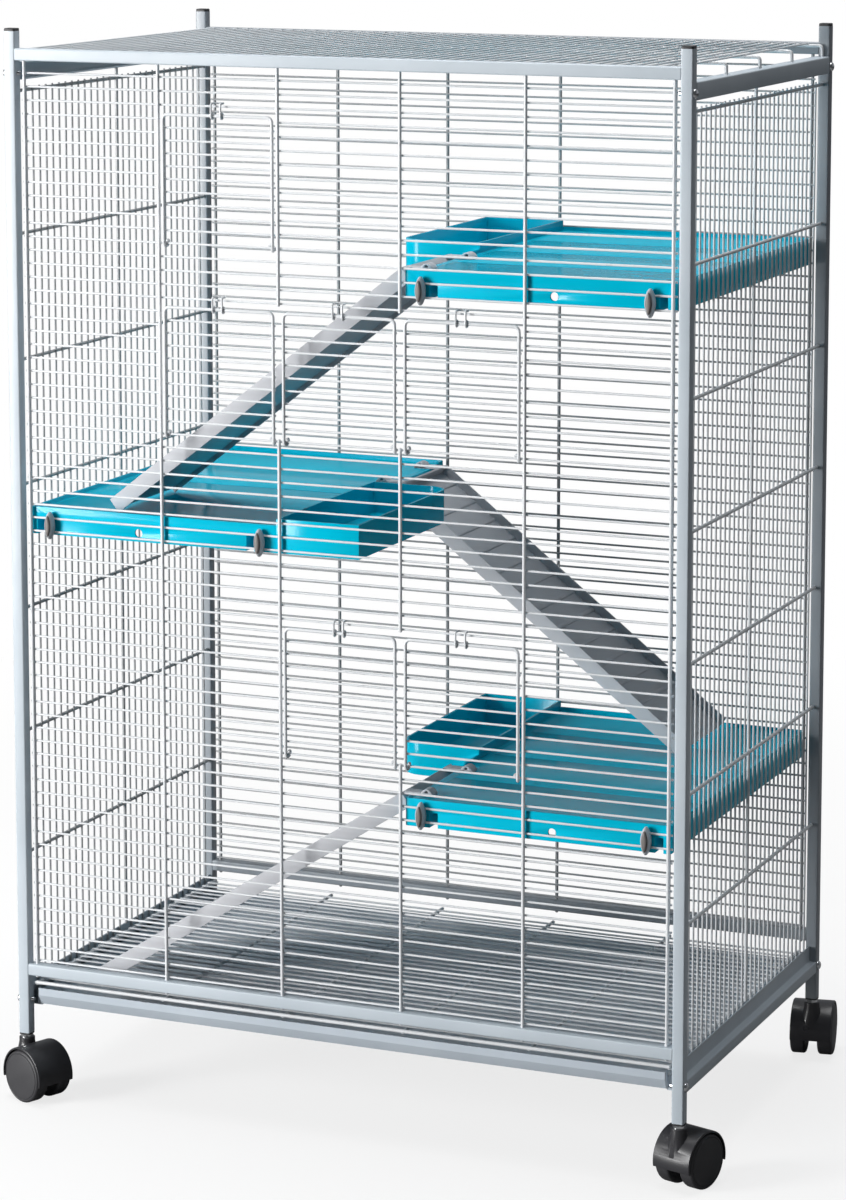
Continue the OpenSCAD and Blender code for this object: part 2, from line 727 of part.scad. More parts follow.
// Twin wheel hood: a drum cut off low, a web that carries the axle, a boss round the pin
module caster_hood(k) {
    color(black) caster_at(k) difference() {
        union() {
            difference() {
                translate([trail, 0, wheel_r]) rotate([90, 0, 0]) rounded_disc(hood_r, hood_w, hood_edge);
                translate([-wheel_d, -wheel_d, -wheel_d])
                    cube([3 * wheel_d, 2 * wheel_d, wheel_d + hood_low]);
            }
            translate([trail, 0, wheel_r]) rotate([90, 0, 0])
                cylinder(d = hub_d, h = web_w, center = true, $fn = 48);
            translate([0, 0, boss_top - boss_l])
                cylinder(d1 = boss_d + 2 * boss_flare, d2 = boss_d, h = boss_l - boss_neck, $fn = 64);
            translate([0, 0, boss_top - boss_neck - eps])
                cylinder(d = boss_d, h = boss_neck + eps, $fn = 64);
        }
        for (y = [-1, 1]) translate([trail, y * (web_w / 2 + wheel_w), wheel_r]) rotate([90, 0, 0])
            cylinder(r = wheel_r + hood_gap, h = 2 * wheel_w, center = true, $fn = 96);
        translate([trail, 0, wheel_r]) rotate([90, 0, 0])
            cylinder(d = axle_d + 2 * fit, h = 2 * web_w, center = true, $fn = 48);
        translate([0, 0, pin_low - 1]) cylinder(d = pin_d + 2 * fit, h = caster_h, $fn = 48);
    }
}

// Two wheels with domed outer faces on one axle through the hood's web
module caster_wheels(k) {
    color(black) caster_at(k) translate([trail, 0, wheel_r]) rotate([90, 0, 0]) {
        for (s = [-1, 1]) translate([0, 0, s * wheel_y]) {
            rounded_disc(wheel_r, wheel_w, wheel_edge);
            rotate([s > 0 ? 0 : 180, 0, 0]) translate([0, 0, wheel_w / 2]) rotate_extrude($fn = 96)
                intersection() {
                    translate([0, wheel_dome - dome_r]) circle(dome_r, $fn = 256);
                    translate([0, -eps]) square([face_r, wheel_dome + eps]);
                }
        }
        cylinder(d = axle_d, h = 2 * wheel_y, center = true, $fn = 48);
    }
}

post(-1, -1);  // post_front_left
post(1, -1);  // post_front_right
post(-1, 1);  // post_back_left
post(1, 1);  // post_back_right
post_caps();
post_plugs();
cross_rail(-1, top_rail_z, [0]);  // front_top_rail
cross_rail(-1, bottom_rail_z, [0, post_t]);  // front_bottom_rail
cross_rail(1, top_rail_z, [0]);  // back_top_rail
cross_rail(1, bottom_rail_z, [0, post_t]);  // back_bottom_rail
side_top_rail(-1);  // left_top_rail
side_top_rail(1);  // right_top_rail
side_bottom_rail(-1);  // left_bottom_rail
side_bottom_rail(1);  // right_bottom_rail
frame_bolts();
level_panel(-1, [0:5]);  // front_panel
level_panel(1, []);  // back_panel
side_panel(-1);  // left_panel
side_panel(1);  // right_panel
top_panel();
floor_grate();
floor_tray();
door(0);  // door_upper_left
door(1);  // door_middle_left
door(2);  // door_middle_centre
door(3);  // door_middle_right
door(4);  // door_lower_centre
door(5);  // door_lower_right
latch(0);  // latch_upper_left
latch(1);  // latch_middle_left
latch(2);  // latch_middle_centre
latch(3);  // latch_middle_right
latch(4);  // latch_lower_centre
latch(5);  // latch_lower_right
shelf(0);  // shelf_upper
shelf(1);  // shelf_middle
shelf(2);  // shelf_lower
ramp(0);  // ramp_upper
ramp(1);  // ramp_middle
ramp(2);  // ramp_lower
knob(0, 0);  // knob_upper_left
knob(0, 1);  // knob_upper_right
knob(1, 1);  // knob_middle_left
knob(1, 0);  // knob_middle_right
knob(2, 0);  // knob_lower_left
knob(2, 1);  // knob_lower_right
caster_stem(0);  // caster_stem_front_left
caster_stem(1);  // caster_stem_front_right
caster_stem(2);  // caster_stem_back_left
caster_stem(3);  // caster_stem_back_right
caster_hood(0);  // caster_hood_front_left
caster_hood(1);  // caster_hood_front_right
caster_hood(2);  // caster_hood_back_left
caster_hood(3);  // caster_hood_back_right
caster_wheels(0);  // caster_wheels_front_left
caster_wheels(1);  // caster_wheels_front_right
caster_wheels(2);  // caster_wheels_back_left
caster_wheels(3);  // caster_wheels_back_right
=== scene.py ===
import math
import random

import bmesh
import bpy
from mathutils import Matrix, Vector


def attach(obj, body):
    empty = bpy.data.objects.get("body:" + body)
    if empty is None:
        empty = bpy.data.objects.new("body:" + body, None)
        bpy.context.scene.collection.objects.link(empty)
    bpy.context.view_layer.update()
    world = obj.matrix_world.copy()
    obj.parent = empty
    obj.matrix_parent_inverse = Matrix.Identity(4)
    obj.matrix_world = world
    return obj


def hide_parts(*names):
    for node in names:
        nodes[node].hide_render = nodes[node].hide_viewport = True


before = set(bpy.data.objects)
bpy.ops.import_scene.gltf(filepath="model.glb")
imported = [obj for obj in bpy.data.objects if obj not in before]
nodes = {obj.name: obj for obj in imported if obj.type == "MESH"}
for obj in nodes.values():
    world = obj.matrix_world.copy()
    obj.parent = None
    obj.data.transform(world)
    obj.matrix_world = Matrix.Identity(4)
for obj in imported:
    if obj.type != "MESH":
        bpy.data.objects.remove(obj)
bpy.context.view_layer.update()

# ---- Sizes of the cage, in millimetres: the same values as the solids have ----

MM = 0.001
FRAME_W = 762.0
FRAME_D = 457.2
POST_H = 1083.0
POST_T = 12.7
TUBE_WALL = 1.2
CAP_H = 3.0
CASTER_H = 70.0
POST_TOP = CASTER_H + POST_H
FX, FY = FRAME_W / 2, FRAME_D / 2
POST_X, POST_Y = FX - POST_T / 2, FY - POST_T / 2
POST_ABOVE, POST_BELOW = 17.8, 65.3
TOP_RAIL_Z = POST_TOP - POST_ABOVE - POST_T
BOTTOM_RAIL_Z = CASTER_H + POST_BELOW

WIRE_D = 2.3
ROD_D = 3.7
WELD = 0.3
FLAT = math.cos(math.radians(30))
CROSS = FLAT * (ROD_D + WIRE_D) / 2 - WELD

LEVEL_PITCH = 14.3
FIRST_LEVEL = 13
LEVEL_TOP = TOP_RAIL_Z - FIRST_LEVEL
LEVELS = int((LEVEL_TOP - BOTTOM_RAIL_Z - POST_T - WIRE_D) / LEVEL_PITCH) + 1
COLUMN_W = 136.0
EDGE_IN = 7.8
EDGE_X = FX - POST_T - EDGE_IN
ROD_XS = (-EDGE_X, -1.5 * COLUMN_W, -0.5 * COLUMN_W, 0.5 * COLUMN_W, 1.5 * COLUMN_W, EDGE_X)
PANEL_Y = POST_Y
LEVEL_Y = PANEL_Y - CROSS
ROD_END, ROD_BELOW, ROD_ABOVE = 2.5, 2.8, 3

SHEET_T = 1.2
SIDE_RAIL_H, SIDE_RAIL_DROP = 18.5, 32.5
SIDE_RAIL_Z = POST_TOP - SIDE_RAIL_DROP - SIDE_RAIL_H
RUNNER_UP = 30
RUNNER_Z = CASTER_H + RUNNER_UP
RUNNER_LOW_H, RUNNER_HIGH_H, RUNNER_STEP, RUNNER_W = 13.0, 17.0, 8.0, 22.0
RUNNER_TOP = RUNNER_Z + RUNNER_LOW_H + RUNNER_HIGH_H
LEDGE_Z = RUNNER_Z + RUNNER_LOW_H + RUNNER_HIGH_H / 2 + SHEET_T
RUN_GAP = 0.2

SIDE_SPACES = 30
SIDE_THIN_U = RUNNER_STEP + SHEET_T + RUN_GAP + FLAT * WIRE_D / 2
SIDE_ROD_U = SIDE_THIN_U - CROSS
SIDE_ROD_LOW, SIDE_ROD_PITCH, SIDE_RODS, SIDE_ROD_DROP = 199.3, 134, 6, 12
SIDE_ROD_TOP = SIDE_RAIL_Z - SIDE_ROD_DROP
SIDE_ROD_ZS = [CASTER_H + SIDE_ROD_LOW + i * SIDE_ROD_PITCH for i in range(SIDE_RODS)]
SIDE_ROD_ZS.append(SIDE_ROD_TOP)
TOP_PITCH = 14.3
TOP_Z = TOP_RAIL_Z + POST_T - FLAT * WIRE_D / 2
TOP_ROD_Z = TOP_Z - CROSS
TOP_EDGE_GAP = 1
TOP_EDGE_Y = FY - POST_T - ROD_D / 2 - TOP_EDGE_GAP
TOP_ROD_YS = [i * TOP_EDGE_Y / 2 for i in range(-2, 3)]
TOP_ROD_U = POST_T / 2 + 1

# Column and height over the caster of each door; BESIDE names those with a door to their right.
DOORS = {
    "upper_left": (-1, 868), "middle_left": (-1, 668), "middle_centre": (0, 668),
    "middle_right": (1, 668), "lower_centre": (0, 339), "lower_right": (1, 339),
}
BESIDE = ("middle_left", "middle_centre", "lower_centre")
DOOR_H = 133.5
DOOR_ROD = 3.5
DOOR_R = 8.0
DOOR_PITCH = 13.3
DOOR_WIRES = 9
OPENING_LEVELS = 10
DOOR_GAP, COIL_GAP = 2.2, 0.15
DOOR_HALF = COLUMN_W / 2 - ROD_D / 2 - DOOR_GAP
COIL_R = WIRE_D / 2 + COIL_GAP + DOOR_ROD / 2
DOOR_Y = LEVEL_Y + COIL_R
LATCH_W = 13.0
LATCH_WIRE = 2.2
LATCH_R = DOOR_ROD / 2 + COIL_GAP + LATCH_WIRE / 2

SHELF_L, SHELF_END_GAP, SHELF_GAP = 291.0, 19, 0.3
SHELF_X = FX - SHELF_END_GAP - SHELF_L
PANEL_IN = FY - LEVEL_Y + FLAT * WIRE_D / 2
SHELF_W = 2 * (FY - PANEL_IN - SHELF_GAP)
SKIRT_H, SHELF_WALL, DECK_DROP = 29.0, 2.5, 4.0
TUB_L, TUB_W, TUB_RISE, TUB_R = 91.0, 243.0, 7.0, 24.0
DECK_TOP = SKIRT_H - DECK_DROP
# Height of each shelf and the side of the cage that it lies on.
SHELVES = {
    "upper": (CASTER_H + 824, 1),
    "middle": (CASTER_H + 550, -1),
    "lower": (CASTER_H + 276, 1),
}
KNOB_NEAR, KNOB_FAR = 20.0, 25
KNOB_US = (KNOB_NEAR, SHELF_L - KNOB_FAR)
KNOB_UP = 11.0
KNOB_L, KNOB_W, KNOB_T, KNOB_TIPS, KNOB_BAR = 29.0, 11.0, 9.0, 1.12, 11.0
POCKET_WALL, NOTCH_W, NOTCH_H, NOTCH_DEEP = 1.5, 9.0, 16.0, 24.0
SQUARE = 0.01
NOTCH_AT = KNOB_BAR / 2 + POCKET_WALL + 1
KNOBS = {
    "upper_left": ("upper", 0), "upper_right": ("upper", 1), "middle_left": ("middle", 1),
    "middle_right": ("middle", 0), "lower_left": ("lower", 0), "lower_right": ("lower", 1),
}

RAMP_W, RAMP_L, RAMP_H, RAMP_WALL = 132.0, 428.0, 17.0, 2.4
RAMP_TREADS = 14
RAMP_SIDE = 20
RAMP_Y = -SHELF_W / 2 + RAMP_SIDE + RAMP_W / 2
RAMP_DECK = 5.0
HOOK_SPAN, HOOK_W, HOOK_REACH, HOOK_T, HOOK_OUT = 106.0, 14.0, 20.0, 3.0, 12.0
HUMP_H, HUMP_HOLE = 7.0, 3.5
TREAD_L, TREAD_H = 5, 1.0
FOOT_GAP = 0.3

GRATE_ROD_Z = LEDGE_Z + RUN_GAP + FLAT * ROD_D / 2
GRATE_Z = GRATE_ROD_Z + CROSS
GRATE_LIP_D = 4.0
GRATE_LIP_Z = GRATE_Z + FLAT * (WIRE_D - GRATE_LIP_D) / 2
SLIDE_GAP = 16.9
GRATE_X = FX - SLIDE_GAP
GRATE_FRONT_GAP, GRATE_BACK_GAP = 8, 18
GRATE_FRONT, GRATE_BACK = -FY + GRATE_FRONT_GAP, FY - GRATE_BACK_GAP
GRATE_PITCH = 14.3
GRATE_RODS = (-1, -0.58, -0.19, 0.19, 0.58, 1)
TRAY_Z = RUNNER_Z + SHEET_T + RUN_GAP
TRAY_X = FX - SLIDE_GAP
TRAY_FRONT_GAP, TRAY_BACK_GAP = 6, 20
TRAY_FRONT, TRAY_BACK = -FY + TRAY_FRONT_GAP, FY - TRAY_BACK_GAP
TRAY_T, TRAY_H, TRAY_LIP_H = 1.2, 14.0, 18.0
LIP_OUT, LIP_FLAT, LIP_TONGUE, TRAY_BEND = 6.0, 8.0, 12, 1.6

WHEEL_D, WHEEL_W, WEB_W, WHEEL_GAP = 57.0, 16.5, 12.0, 0.9
TRAIL, PIN_D, AXLE_D = 18.0, 7.0, 6.0
WHEEL_R = WHEEL_D / 2
WHEEL_EDGE, WHEEL_DOME = 3.0, 1.2
WHEEL_Y = WEB_W / 2 + WHEEL_GAP + WHEEL_W / 2
HOOD_GAP, RIM_T, HOOD_LOW = 1.5, 2.0, 23.0
HOOD_R = WHEEL_R + HOOD_GAP + RIM_T
HOOD_HALF = WHEEL_Y + WHEEL_W / 2 - 0.4
BOSS_D, BOSS_FLARE, BOSS_L, BOSS_NECK = 17.0, 5.0, 29.0, 5.0
PLUG_LIP, COLLAR_H = 1.8, 3
BOSS_TOP = CASTER_H - PLUG_LIP - COLLAR_H - RUN_GAP
# Side and end of the cage at which each caster stands, and its turn in degrees.
CASTERS = {
    "front_left": (-1, -1, -23),
    "front_right": (1, -1, 73),
    "back_left": (-1, 1, 106),
    "back_right": (1, 1, 100),
}

X, Y, Z = Vector((1, 0, 0)), Vector((0, 1, 0)), Vector((0, 0, 1))


def level_z(k):
    return LEVEL_TOP - LEVEL_PITCH * k


def hinge_z(height):
    return level_z(round((LEVEL_TOP - CASTER_H - height) / LEVEL_PITCH))


def knob_z(shelf_z):
    return level_z(round((LEVEL_TOP - shelf_z - KNOB_UP) / LEVEL_PITCH - 0.5) + 0.5)


# ---- Materials ----

# Depth of the finest relief of each kind of surface, in millimetres.
PEEL, SKIN_GRAIN, PLATE_GRAIN = 0.03, 0.02, 0.01


def empty_tree(owner):
    """Node tree of a material or a world, with nothing in it."""
    owner.use_nodes = True
    owner.node_tree.nodes.clear()
    return owner.node_tree


def material(name):
    made = bpy.data.materials.new(name)
    tree = empty_tree(made)
    out = tree.nodes.new("ShaderNodeOutputMaterial")
    shader = tree.nodes.new("ShaderNodeBsdfPrincipled")
    tree.links.new(shader.outputs["BSDF"], out.inputs["Surface"])
    return made, tree, shader


def noise(tree, scale, detail, roughness=0.5, stretch=(1, 1, 1)):
    """Noise over the object's own coordinates, so that it stays on the piece."""
    place = tree.nodes.new("ShaderNodeTexCoord")
    mapping = tree.nodes.new("ShaderNodeMapping")
    mapping.inputs["Scale"].default_value = stretch
    texture = tree.nodes.new("ShaderNodeTexNoise")
    texture.inputs["Scale"].default_value = scale
    texture.inputs["Detail"].default_value = detail
    texture.inputs["Roughness"].default_value = roughness
    tree.links.new(place.outputs["Object"], mapping.inputs["Vector"])
    tree.links.new(mapping.outputs["Vector"], texture.inputs["Vector"])
    return texture.outputs["Fac"]


def ramp(tree, fac, *stops):
    """Colour ramp from (position, colour) stops; a colour is a tuple or a grey number."""
    node = tree.nodes.new("ShaderNodeValToRGB")
    band = node.color_ramp
    while len(band.elements) < len(stops):
        band.elements.new(0.5)
    for element, (position, colour) in zip(band.elements, stops):
        element.position = position
        element.color = (*colour, 1) if isinstance(colour, tuple) else (colour, colour, colour, 1)
    tree.links.new(fac, node.inputs["Fac"])
    return node.outputs["Color"]


def vary(tree, shader, socket, fac, low, high):
    """Lets a noise drive a socket of the shader between two stops."""
    tree.links.new(ramp(tree, fac, low, high), shader.inputs[socket])


def bump(tree, shader, fac, strength, distance):
    node = tree.nodes.new("ShaderNodeBump")
    node.inputs["Strength"].default_value = strength
    node.inputs["Distance"].default_value = distance
    tree.links.new(fac, node.inputs["Height"])
    tree.links.new(node.outputs["Normal"], shader.inputs["Normal"])


def paint(name, dark, light, rough=(0.34, 0.46), coat=0.25, grain=900):
    """Powder coat: slow drift of tone, fine orange peel and uneven gloss."""
    made, tree, shader = material(name)
    vary(tree, shader, "Base Color", noise(tree, 9, 3), (0.3, dark), (0.7, light))
    vary(tree, shader, "Roughness", noise(tree, 60, 4), (0.3, rough[0]), (0.75, rough[1]))
    bump(tree, shader, noise(tree, grain, 2), 0.25, PEEL * MM)
    shader.inputs["Coat Weight"].default_value = coat
    shader.inputs["Coat Roughness"].default_value = 0.25
    return made


def plastic(name, dark, light, rough, specular=0.5):
    """Moulded plastic: faint flow marks, fine skin grain and a few duller patches."""
    made, tree, shader = material(name)
    flow = noise(tree, 9, 3, 0.5, (1, 0.35, 1.6))
    vary(tree, shader, "Base Color", flow, (0.25, dark), (0.75, light))
    vary(tree, shader, "Roughness", noise(tree, 30, 3), (0.3, rough[0]), (0.7, rough[1]))
    bump(tree, shader, noise(tree, 500, 3), 0.2, SKIN_GRAIN * MM)
    shader.inputs["Specular IOR Level"].default_value = specular
    return made


def plated(name, tone, rough=(0.12, 0.3)):
    """Bright plating with drawn streaks."""
    made, tree, shader = material(name)
    streaks = noise(tree, 120, 4, 0.6, (1, 1, 0.1))
    dark = tuple(c * 0.85 for c in tone)
    vary(tree, shader, "Base Color", streaks, (0.3, dark), (0.7, tone))
    vary(tree, shader, "Roughness", streaks, (0.3, rough[0]), (0.8, rough[1]))
    bump(tree, shader, noise(tree, 800, 2), 0.1, PLATE_GRAIN * MM)
    shader.inputs["Metallic"].default_value = 1.0
    return made


STEEL = paint("steel_paint", (0.45, 0.51, 0.56), (0.52, 0.58, 0.63), coat=0.12)
# Darker copy of the frame paint for the back posts and back rails: painted shade, the same steel as
# the front shown less lit.
STEEL_PAINTED_SHADE = paint("steel_painted_shade", (0.24, 0.27, 0.30), (0.29, 0.32, 0.35), coat=0.12)
WIRE_GLOSS = (0.26, 0.38)
WIRE = paint("wire_paint", (0.64, 0.66, 0.68), (0.72, 0.74, 0.76), WIRE_GLOSS, 0.12, 1400)
# Darker copy of the wire paint for the back and left panels: painted shade, the same wire as the
# front shown less lit.
WIRE_PAINTED_SHADE = paint("wire_painted_shade", (0.34, 0.35, 0.36), (0.40, 0.41, 0.42), WIRE_GLOSS, 0.12, 1400)
TRAY = paint("tray_paint", (0.45, 0.51, 0.57), (0.52, 0.58, 0.64), (0.3, 0.42))
ZINC = plated("zinc_plate", (0.78, 0.80, 0.82))
CHROME = plated("chrome_plate", (0.90, 0.91, 0.92), (0.05, 0.16))
CAP = plastic("cap_moulding", (0.018, 0.018, 0.02), (0.03, 0.03, 0.032), (0.4, 0.6))
SHELF = plastic("shelf_moulding", (0.0, 0.44, 0.62), (0.0, 0.49, 0.68), (0.12, 0.17), 0.15)
RAMP = plastic("ramp_moulding", (0.50, 0.51, 0.54), (0.56, 0.57, 0.60), (0.42, 0.56), 0.3)
KNOB = plastic("knob_moulding", (0.15, 0.135, 0.13), (0.18, 0.165, 0.16), (0.35, 0.5))
# Pale grey for the knob's rim is a painted reflection; the knob's own plastic is the dark tone of
# its face.
KNOB_RIM_PAINTED_SHEEN = plastic("knob_rim_painted_sheen", (0.42, 0.44, 0.47), (0.50, 0.52, 0.55), (0.3, 0.42))
BLACK = plastic("caster_moulding", (0.026, 0.026, 0.029), (0.036, 0.036, 0.040), (0.26, 0.38))
TREAD = plastic("wheel_moulding", (0.031, 0.031, 0.034), (0.043, 0.043, 0.047), (0.4, 0.55))


# ---- Mesh building ----

# Sides of thin and heavy wires, and the share of a wire's radius that its cut end loses.
THIN_SIDES, ROD_SIDES, END_CHAMFER = 10, 14, 0.3


def solid(make, *values):
    """New bmesh that one of the builders below has filled."""
    bm = bmesh.new()
    make(bm, *values)
    return bm


def place_object(name, data):
    made = bpy.data.objects.new(name, data)
    bpy.context.scene.collection.objects.link(made)
    return made


def add_piece(name, bm, look, slot, body, *replaced, sharp=35):
    """Turns a bmesh in millimetres into a piece that rides on a body."""
    bmesh.ops.scale(bm, vec=(MM, MM, MM), verts=bm.verts)
    bmesh.ops.recalc_face_normals(bm, faces=bm.faces)
    mesh = bpy.data.meshes.new(name)
    bm.to_mesh(mesh)
    bm.free()
    piece = place_object(name, mesh)
    mesh.materials.append(look)
    mesh.shade_smooth()
    mesh.set_sharp_from_angle(angle=math.radians(sharp))
    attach(piece, body)
    if replaced:
        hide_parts(*replaced)
    return piece


def ring(bm, centre, side, up, radius, sides):
    return [
        bm.verts.new(centre + radius * (math.cos(a) * side + math.sin(a) * up))
        for a in (2 * math.pi * k / sides for k in range(sides))
    ]


def bridge(bm, first, second):
    count = len(first)
    for k in range(count):
        bm.faces.new((first[k], first[(k + 1) % count], second[(k + 1) % count], second[k]))


def skin(bm, rings):
    """Joins each ring to the next one and closes both ends."""
    for first, second in zip(rings, rings[1:]):
        bridge(bm, first, second)
    bm.faces.new(rings[0])
    bm.faces.new(rings[-1])


def fan(bm, loop, tip):
    for first, second in zip(loop, loop[1:] + loop[:1]):
        bm.faces.new((first, second, tip))


def absorb(bm, other):
    """Adds another bmesh to bm and frees it."""
    mesh = bpy.data.meshes.new("work")
    other.to_mesh(mesh)
    other.free()
    bm.from_mesh(mesh)
    bpy.data.meshes.remove(mesh)


def sweep(bm, path, diameter, sides):
    """Round wire along a path of points, with its cut ends chamfered."""
    radius = diameter / 2
    points = [Vector(p) for p in path]
    last = len(points) - 1
    ways = [
        (points[min(i + 1, last)] - points[max(i - 1, 0)]).normalized()
        for i in range(last + 1)
    ]
    side = ways[0].orthogonal().normalized()
    rings = []
    chamfer = radius * END_CHAMFER
    for i, (point, way) in enumerate(zip(points, ways)):
        if i:
            side = ways[i - 1].rotation_difference(way) @ side
        up = way.cross(side)
        if i == 0:
            spots = ((point, radius - chamfer), (point + way * chamfer, radius))
        elif i == last:
            spots = ((point - way * chamfer, radius), (point, radius - chamfer))
        else:
            spots = ((point, radius),)
        rings += [ring(bm, at, side, up, r, sides) for at, r in spots]
    skin(bm, rings)


def bead(bm, centre, size):
    """Small round weld bead; size is its half extents."""
    spans, layers = 8, (-0.7, 0.0, 0.7)
    loops = []
    for h in layers:
        r = math.sqrt(1 - h * h)
        loops.append([
            bm.verts.new(Vector(centre) + Vector((
                size[0] * r * math.cos(2 * math.pi * k / spans),
                size[1] * r * math.sin(2 * math.pi * k / spans),
                size[2] * h)))
            for k in range(spans)
        ])
    for first, second in zip(loops, loops[1:]):
        bridge(bm, first, second)
    for loop, h in ((loops[0], -1), (loops[-1], 1)):
        fan(bm, loop, bm.verts.new(Vector(centre) + Vector((0, 0, size[2] * h))))


def arc(centre, radius, start, end, steps, u=X, v=Y):
    """Points of an arc round centre from start to end degrees in the plane of u and v."""
    centre = Vector(centre)
    angles = (math.radians(start + (end - start) * i / steps) for i in range(steps + 1))
    return [centre + radius * (math.cos(a) * u + math.sin(a) * v) for a in angles]


def bent(points, radius, steps):
    """Path through corner points with each inner corner rounded to a radius."""
    points = [Vector(p) for p in points]
    path = [points[0]]
    for before, corner, after in zip(points, points[1:], points[2:]):
        a, b = (before - corner), (after - corner)
        half = a.angle(b) / 2
        reach = min(radius / math.tan(half), a.length * 0.49, b.length * 0.49)
        start, end = corner + a.normalized() * reach, corner + b.normalized() * reach
        for i in range(steps + 1):
            t = i / steps
            path.append(start * (1 - t) ** 2 + corner * 2 * t * (1 - t) + end * t * t)
    return path + [points[-1]]


def prism(bm, outline, origin, u, v, way, length):
    """Extrudes an outline of (u, v) points from origin along way."""
    low = [bm.verts.new(origin + u * a + v * b) for a, b in outline]
    skin(bm, [low, [bm.verts.new(vert.co + way * length) for vert in low]])


def rounded(w, h, r, centre=(0, 0)):
    """Outline of a rectangle with round corners."""
    points, steps = [], 5
    for sx, sy, start in ((1, 1, 0), (-1, 1, 90), (-1, -1, 180), (1, -1, 270)):
        for i in range(steps + 1):
            a = math.radians(start + 90 * i / steps)
            x = centre[0] + sx * (w / 2 - r) + r * math.cos(a)
            y = centre[1] + sy * (h / 2 - r) + r * math.sin(a)
            points.append((x, y))
    return points


def loft(bm, outlines):
    """Skins a stack of equal-length rings of 3-D points."""
    skin(bm, [[bm.verts.new(Vector(p)) for p in outline] for outline in outlines])


def block(bm, low, high, r=SQUARE):
    """Box between two corners, with its edges chamfered by r."""
    low, high = Vector(low), Vector(high)
    size = high - low
    r = min(r, min(size) * 0.45)
    made = bmesh.ops.create_cube(bm, size=1.0)["verts"]
    for vert in made:
        vert.co = low + Vector([(c + 0.5) * s for c, s in zip(vert.co, size)])
    edges = {e for vert in made for e in vert.link_edges}
    bmesh.ops.bevel(bm, geom=list(edges), offset=r, segments=2, profile=0.6, affect="EDGES")


def lathe(bm, profile, origin, axis, sides):
    """Turns (distance along the axis, radius) points round an axis; ends on the axis close."""
    axis = Vector(axis).normalized()
    side = axis.orthogonal().normalized()
    up = axis.cross(side)
    rings = []
    for along, radius in profile:
        centre = Vector(origin) + axis * along
        if radius:
            rings.append(ring(bm, centre, side, up, radius, sides))
        else:
            rings.append([bm.verts.new(centre)])
    for first, second in zip(rings, rings[1:]):
        if len(first) == 1:
            fan(bm, second, first[0])
        elif len(second) == 1:
            fan(bm, first, second[0])
        else:
            bridge(bm, first, second)


def sheet_outline(points, thickness, radius):
    """Closed outline of a folded sheet whose outer face follows the points; bends are rounded."""
    steps = 4
    line = [Vector((a, b, 0)) for a, b in points]

    def offset(distance):
        moved = []
        for i, p in enumerate(line):
            before = (p - line[i - 1]).normalized() if i else (line[1] - p).normalized()
            after = (line[i + 1] - p).normalized() if i < len(line) - 1 else before
            n0, n1 = Vector((-before.y, before.x, 0)), Vector((-after.y, after.x, 0))
            middle = (n0 + n1).normalized()
            moved.append(p + middle * distance / max(middle.dot(n0), 0.2))
        return moved

    outer = bent(line, radius, steps)
    inner = bent(offset(thickness), max(radius - thickness, 0.3), steps)
    return [(p.x, p.y) for p in outer] + [(p.x, p.y) for p in reversed(inner)]


def boolean(target, cutters, operation="DIFFERENCE"):
    """Applies cutters to a bmesh, all in millimetres, and returns the result."""

    def as_object(bm):
        bmesh.ops.recalc_face_normals(bm, faces=bm.faces)
        mesh = bpy.data.meshes.new("work")
        bm.to_mesh(mesh)
        bm.free()
        return place_object("work", mesh)

    base = as_object(target)
    for cutter in cutters:
        tool = as_object(cutter)
        change = base.modifiers.new("cut", "BOOLEAN")
        change.operation = operation
        change.solver = "EXACT"
        change.object = tool
    depsgraph = bpy.context.evaluated_depsgraph_get()
    result = bmesh.new()
    result.from_object(base, depsgraph)
    tools = [m.object for m in base.modifiers]
    for made in [base] + tools:
        bpy.data.objects.remove(made)
    return result


def chamfer(bm, width, angle=30):
    """Rounds every edge that turns by more than an angle."""
    bmesh.ops.remove_doubles(bm, verts=bm.verts, dist=0.001)
    bmesh.ops.dissolve_limit(bm, angle_limit=math.radians(1), verts=bm.verts, edges=bm.edges)
    limit = math.radians(angle)
    edges = [e for e in bm.edges if len(e.link_faces) == 2 and e.calc_face_angle() > limit]
    bmesh.ops.bevel(
        bm, geom=edges, offset=width, segments=2, profile=0.5, affect="EDGES", clamp_overlap=True)


# ---- Frame ----

TUBE_CORNER, CAP_CORNER = 1.6, 2.2
CHANNEL_FLANGE, CHANNEL_BEND, RUNNER_BEND = POST_T + 2.5, 1.8, 1.6
LEDGE_OUT = RUNNER_W - 2
# Rounded top of a cap as (height, inset), and a bolt's dome as (distance out, radius).
CAP_LAYERS = ((0, 0), (CAP_H - 1.0, 0), (CAP_H - 0.3, 0.3), (CAP_H, 1.0))
BOLT_DOME = [(0, 5.0), (0.6, 5.0), (1.4, 4.7), (2.3, 3.9), (2.9, 2.7), (3.2, 1.3), (3.3, 0)]
BOLT_R, BOLT_END = 2.5, POST_T + 3.5
BOLT_SHANK = [
    (-BOLT_END, 0), (-BOLT_END, BOLT_R - 0.2), (-BOLT_END + 0.3, BOLT_R), (0.2, BOLT_R), (0.2, 0),
]
BOLT_ZS = (SIDE_RAIL_Z + SIDE_RAIL_H / 2 - 2, RUNNER_Z + RUNNER_LOW_H / 2 + 1)


def square_tube(bm, origin, u, v, way, length):
    """Hollow square tube with rounded corners, open at both ends."""
    hollow = POST_T - 2 * TUBE_WALL
    outer = rounded(POST_T, POST_T, TUBE_CORNER)
    inner = rounded(hollow, hollow, TUBE_CORNER * 0.5)
    rings = []
    for outline, at in ((outer, 0), (outer, length), (inner, length), (inner, 0)):
        rings.append([bm.verts.new(origin + u * a + v * b + way * at) for a, b in outline])
    for first, second in zip(rings, rings[1:] + rings[:1]):
        bridge(bm, first, second)


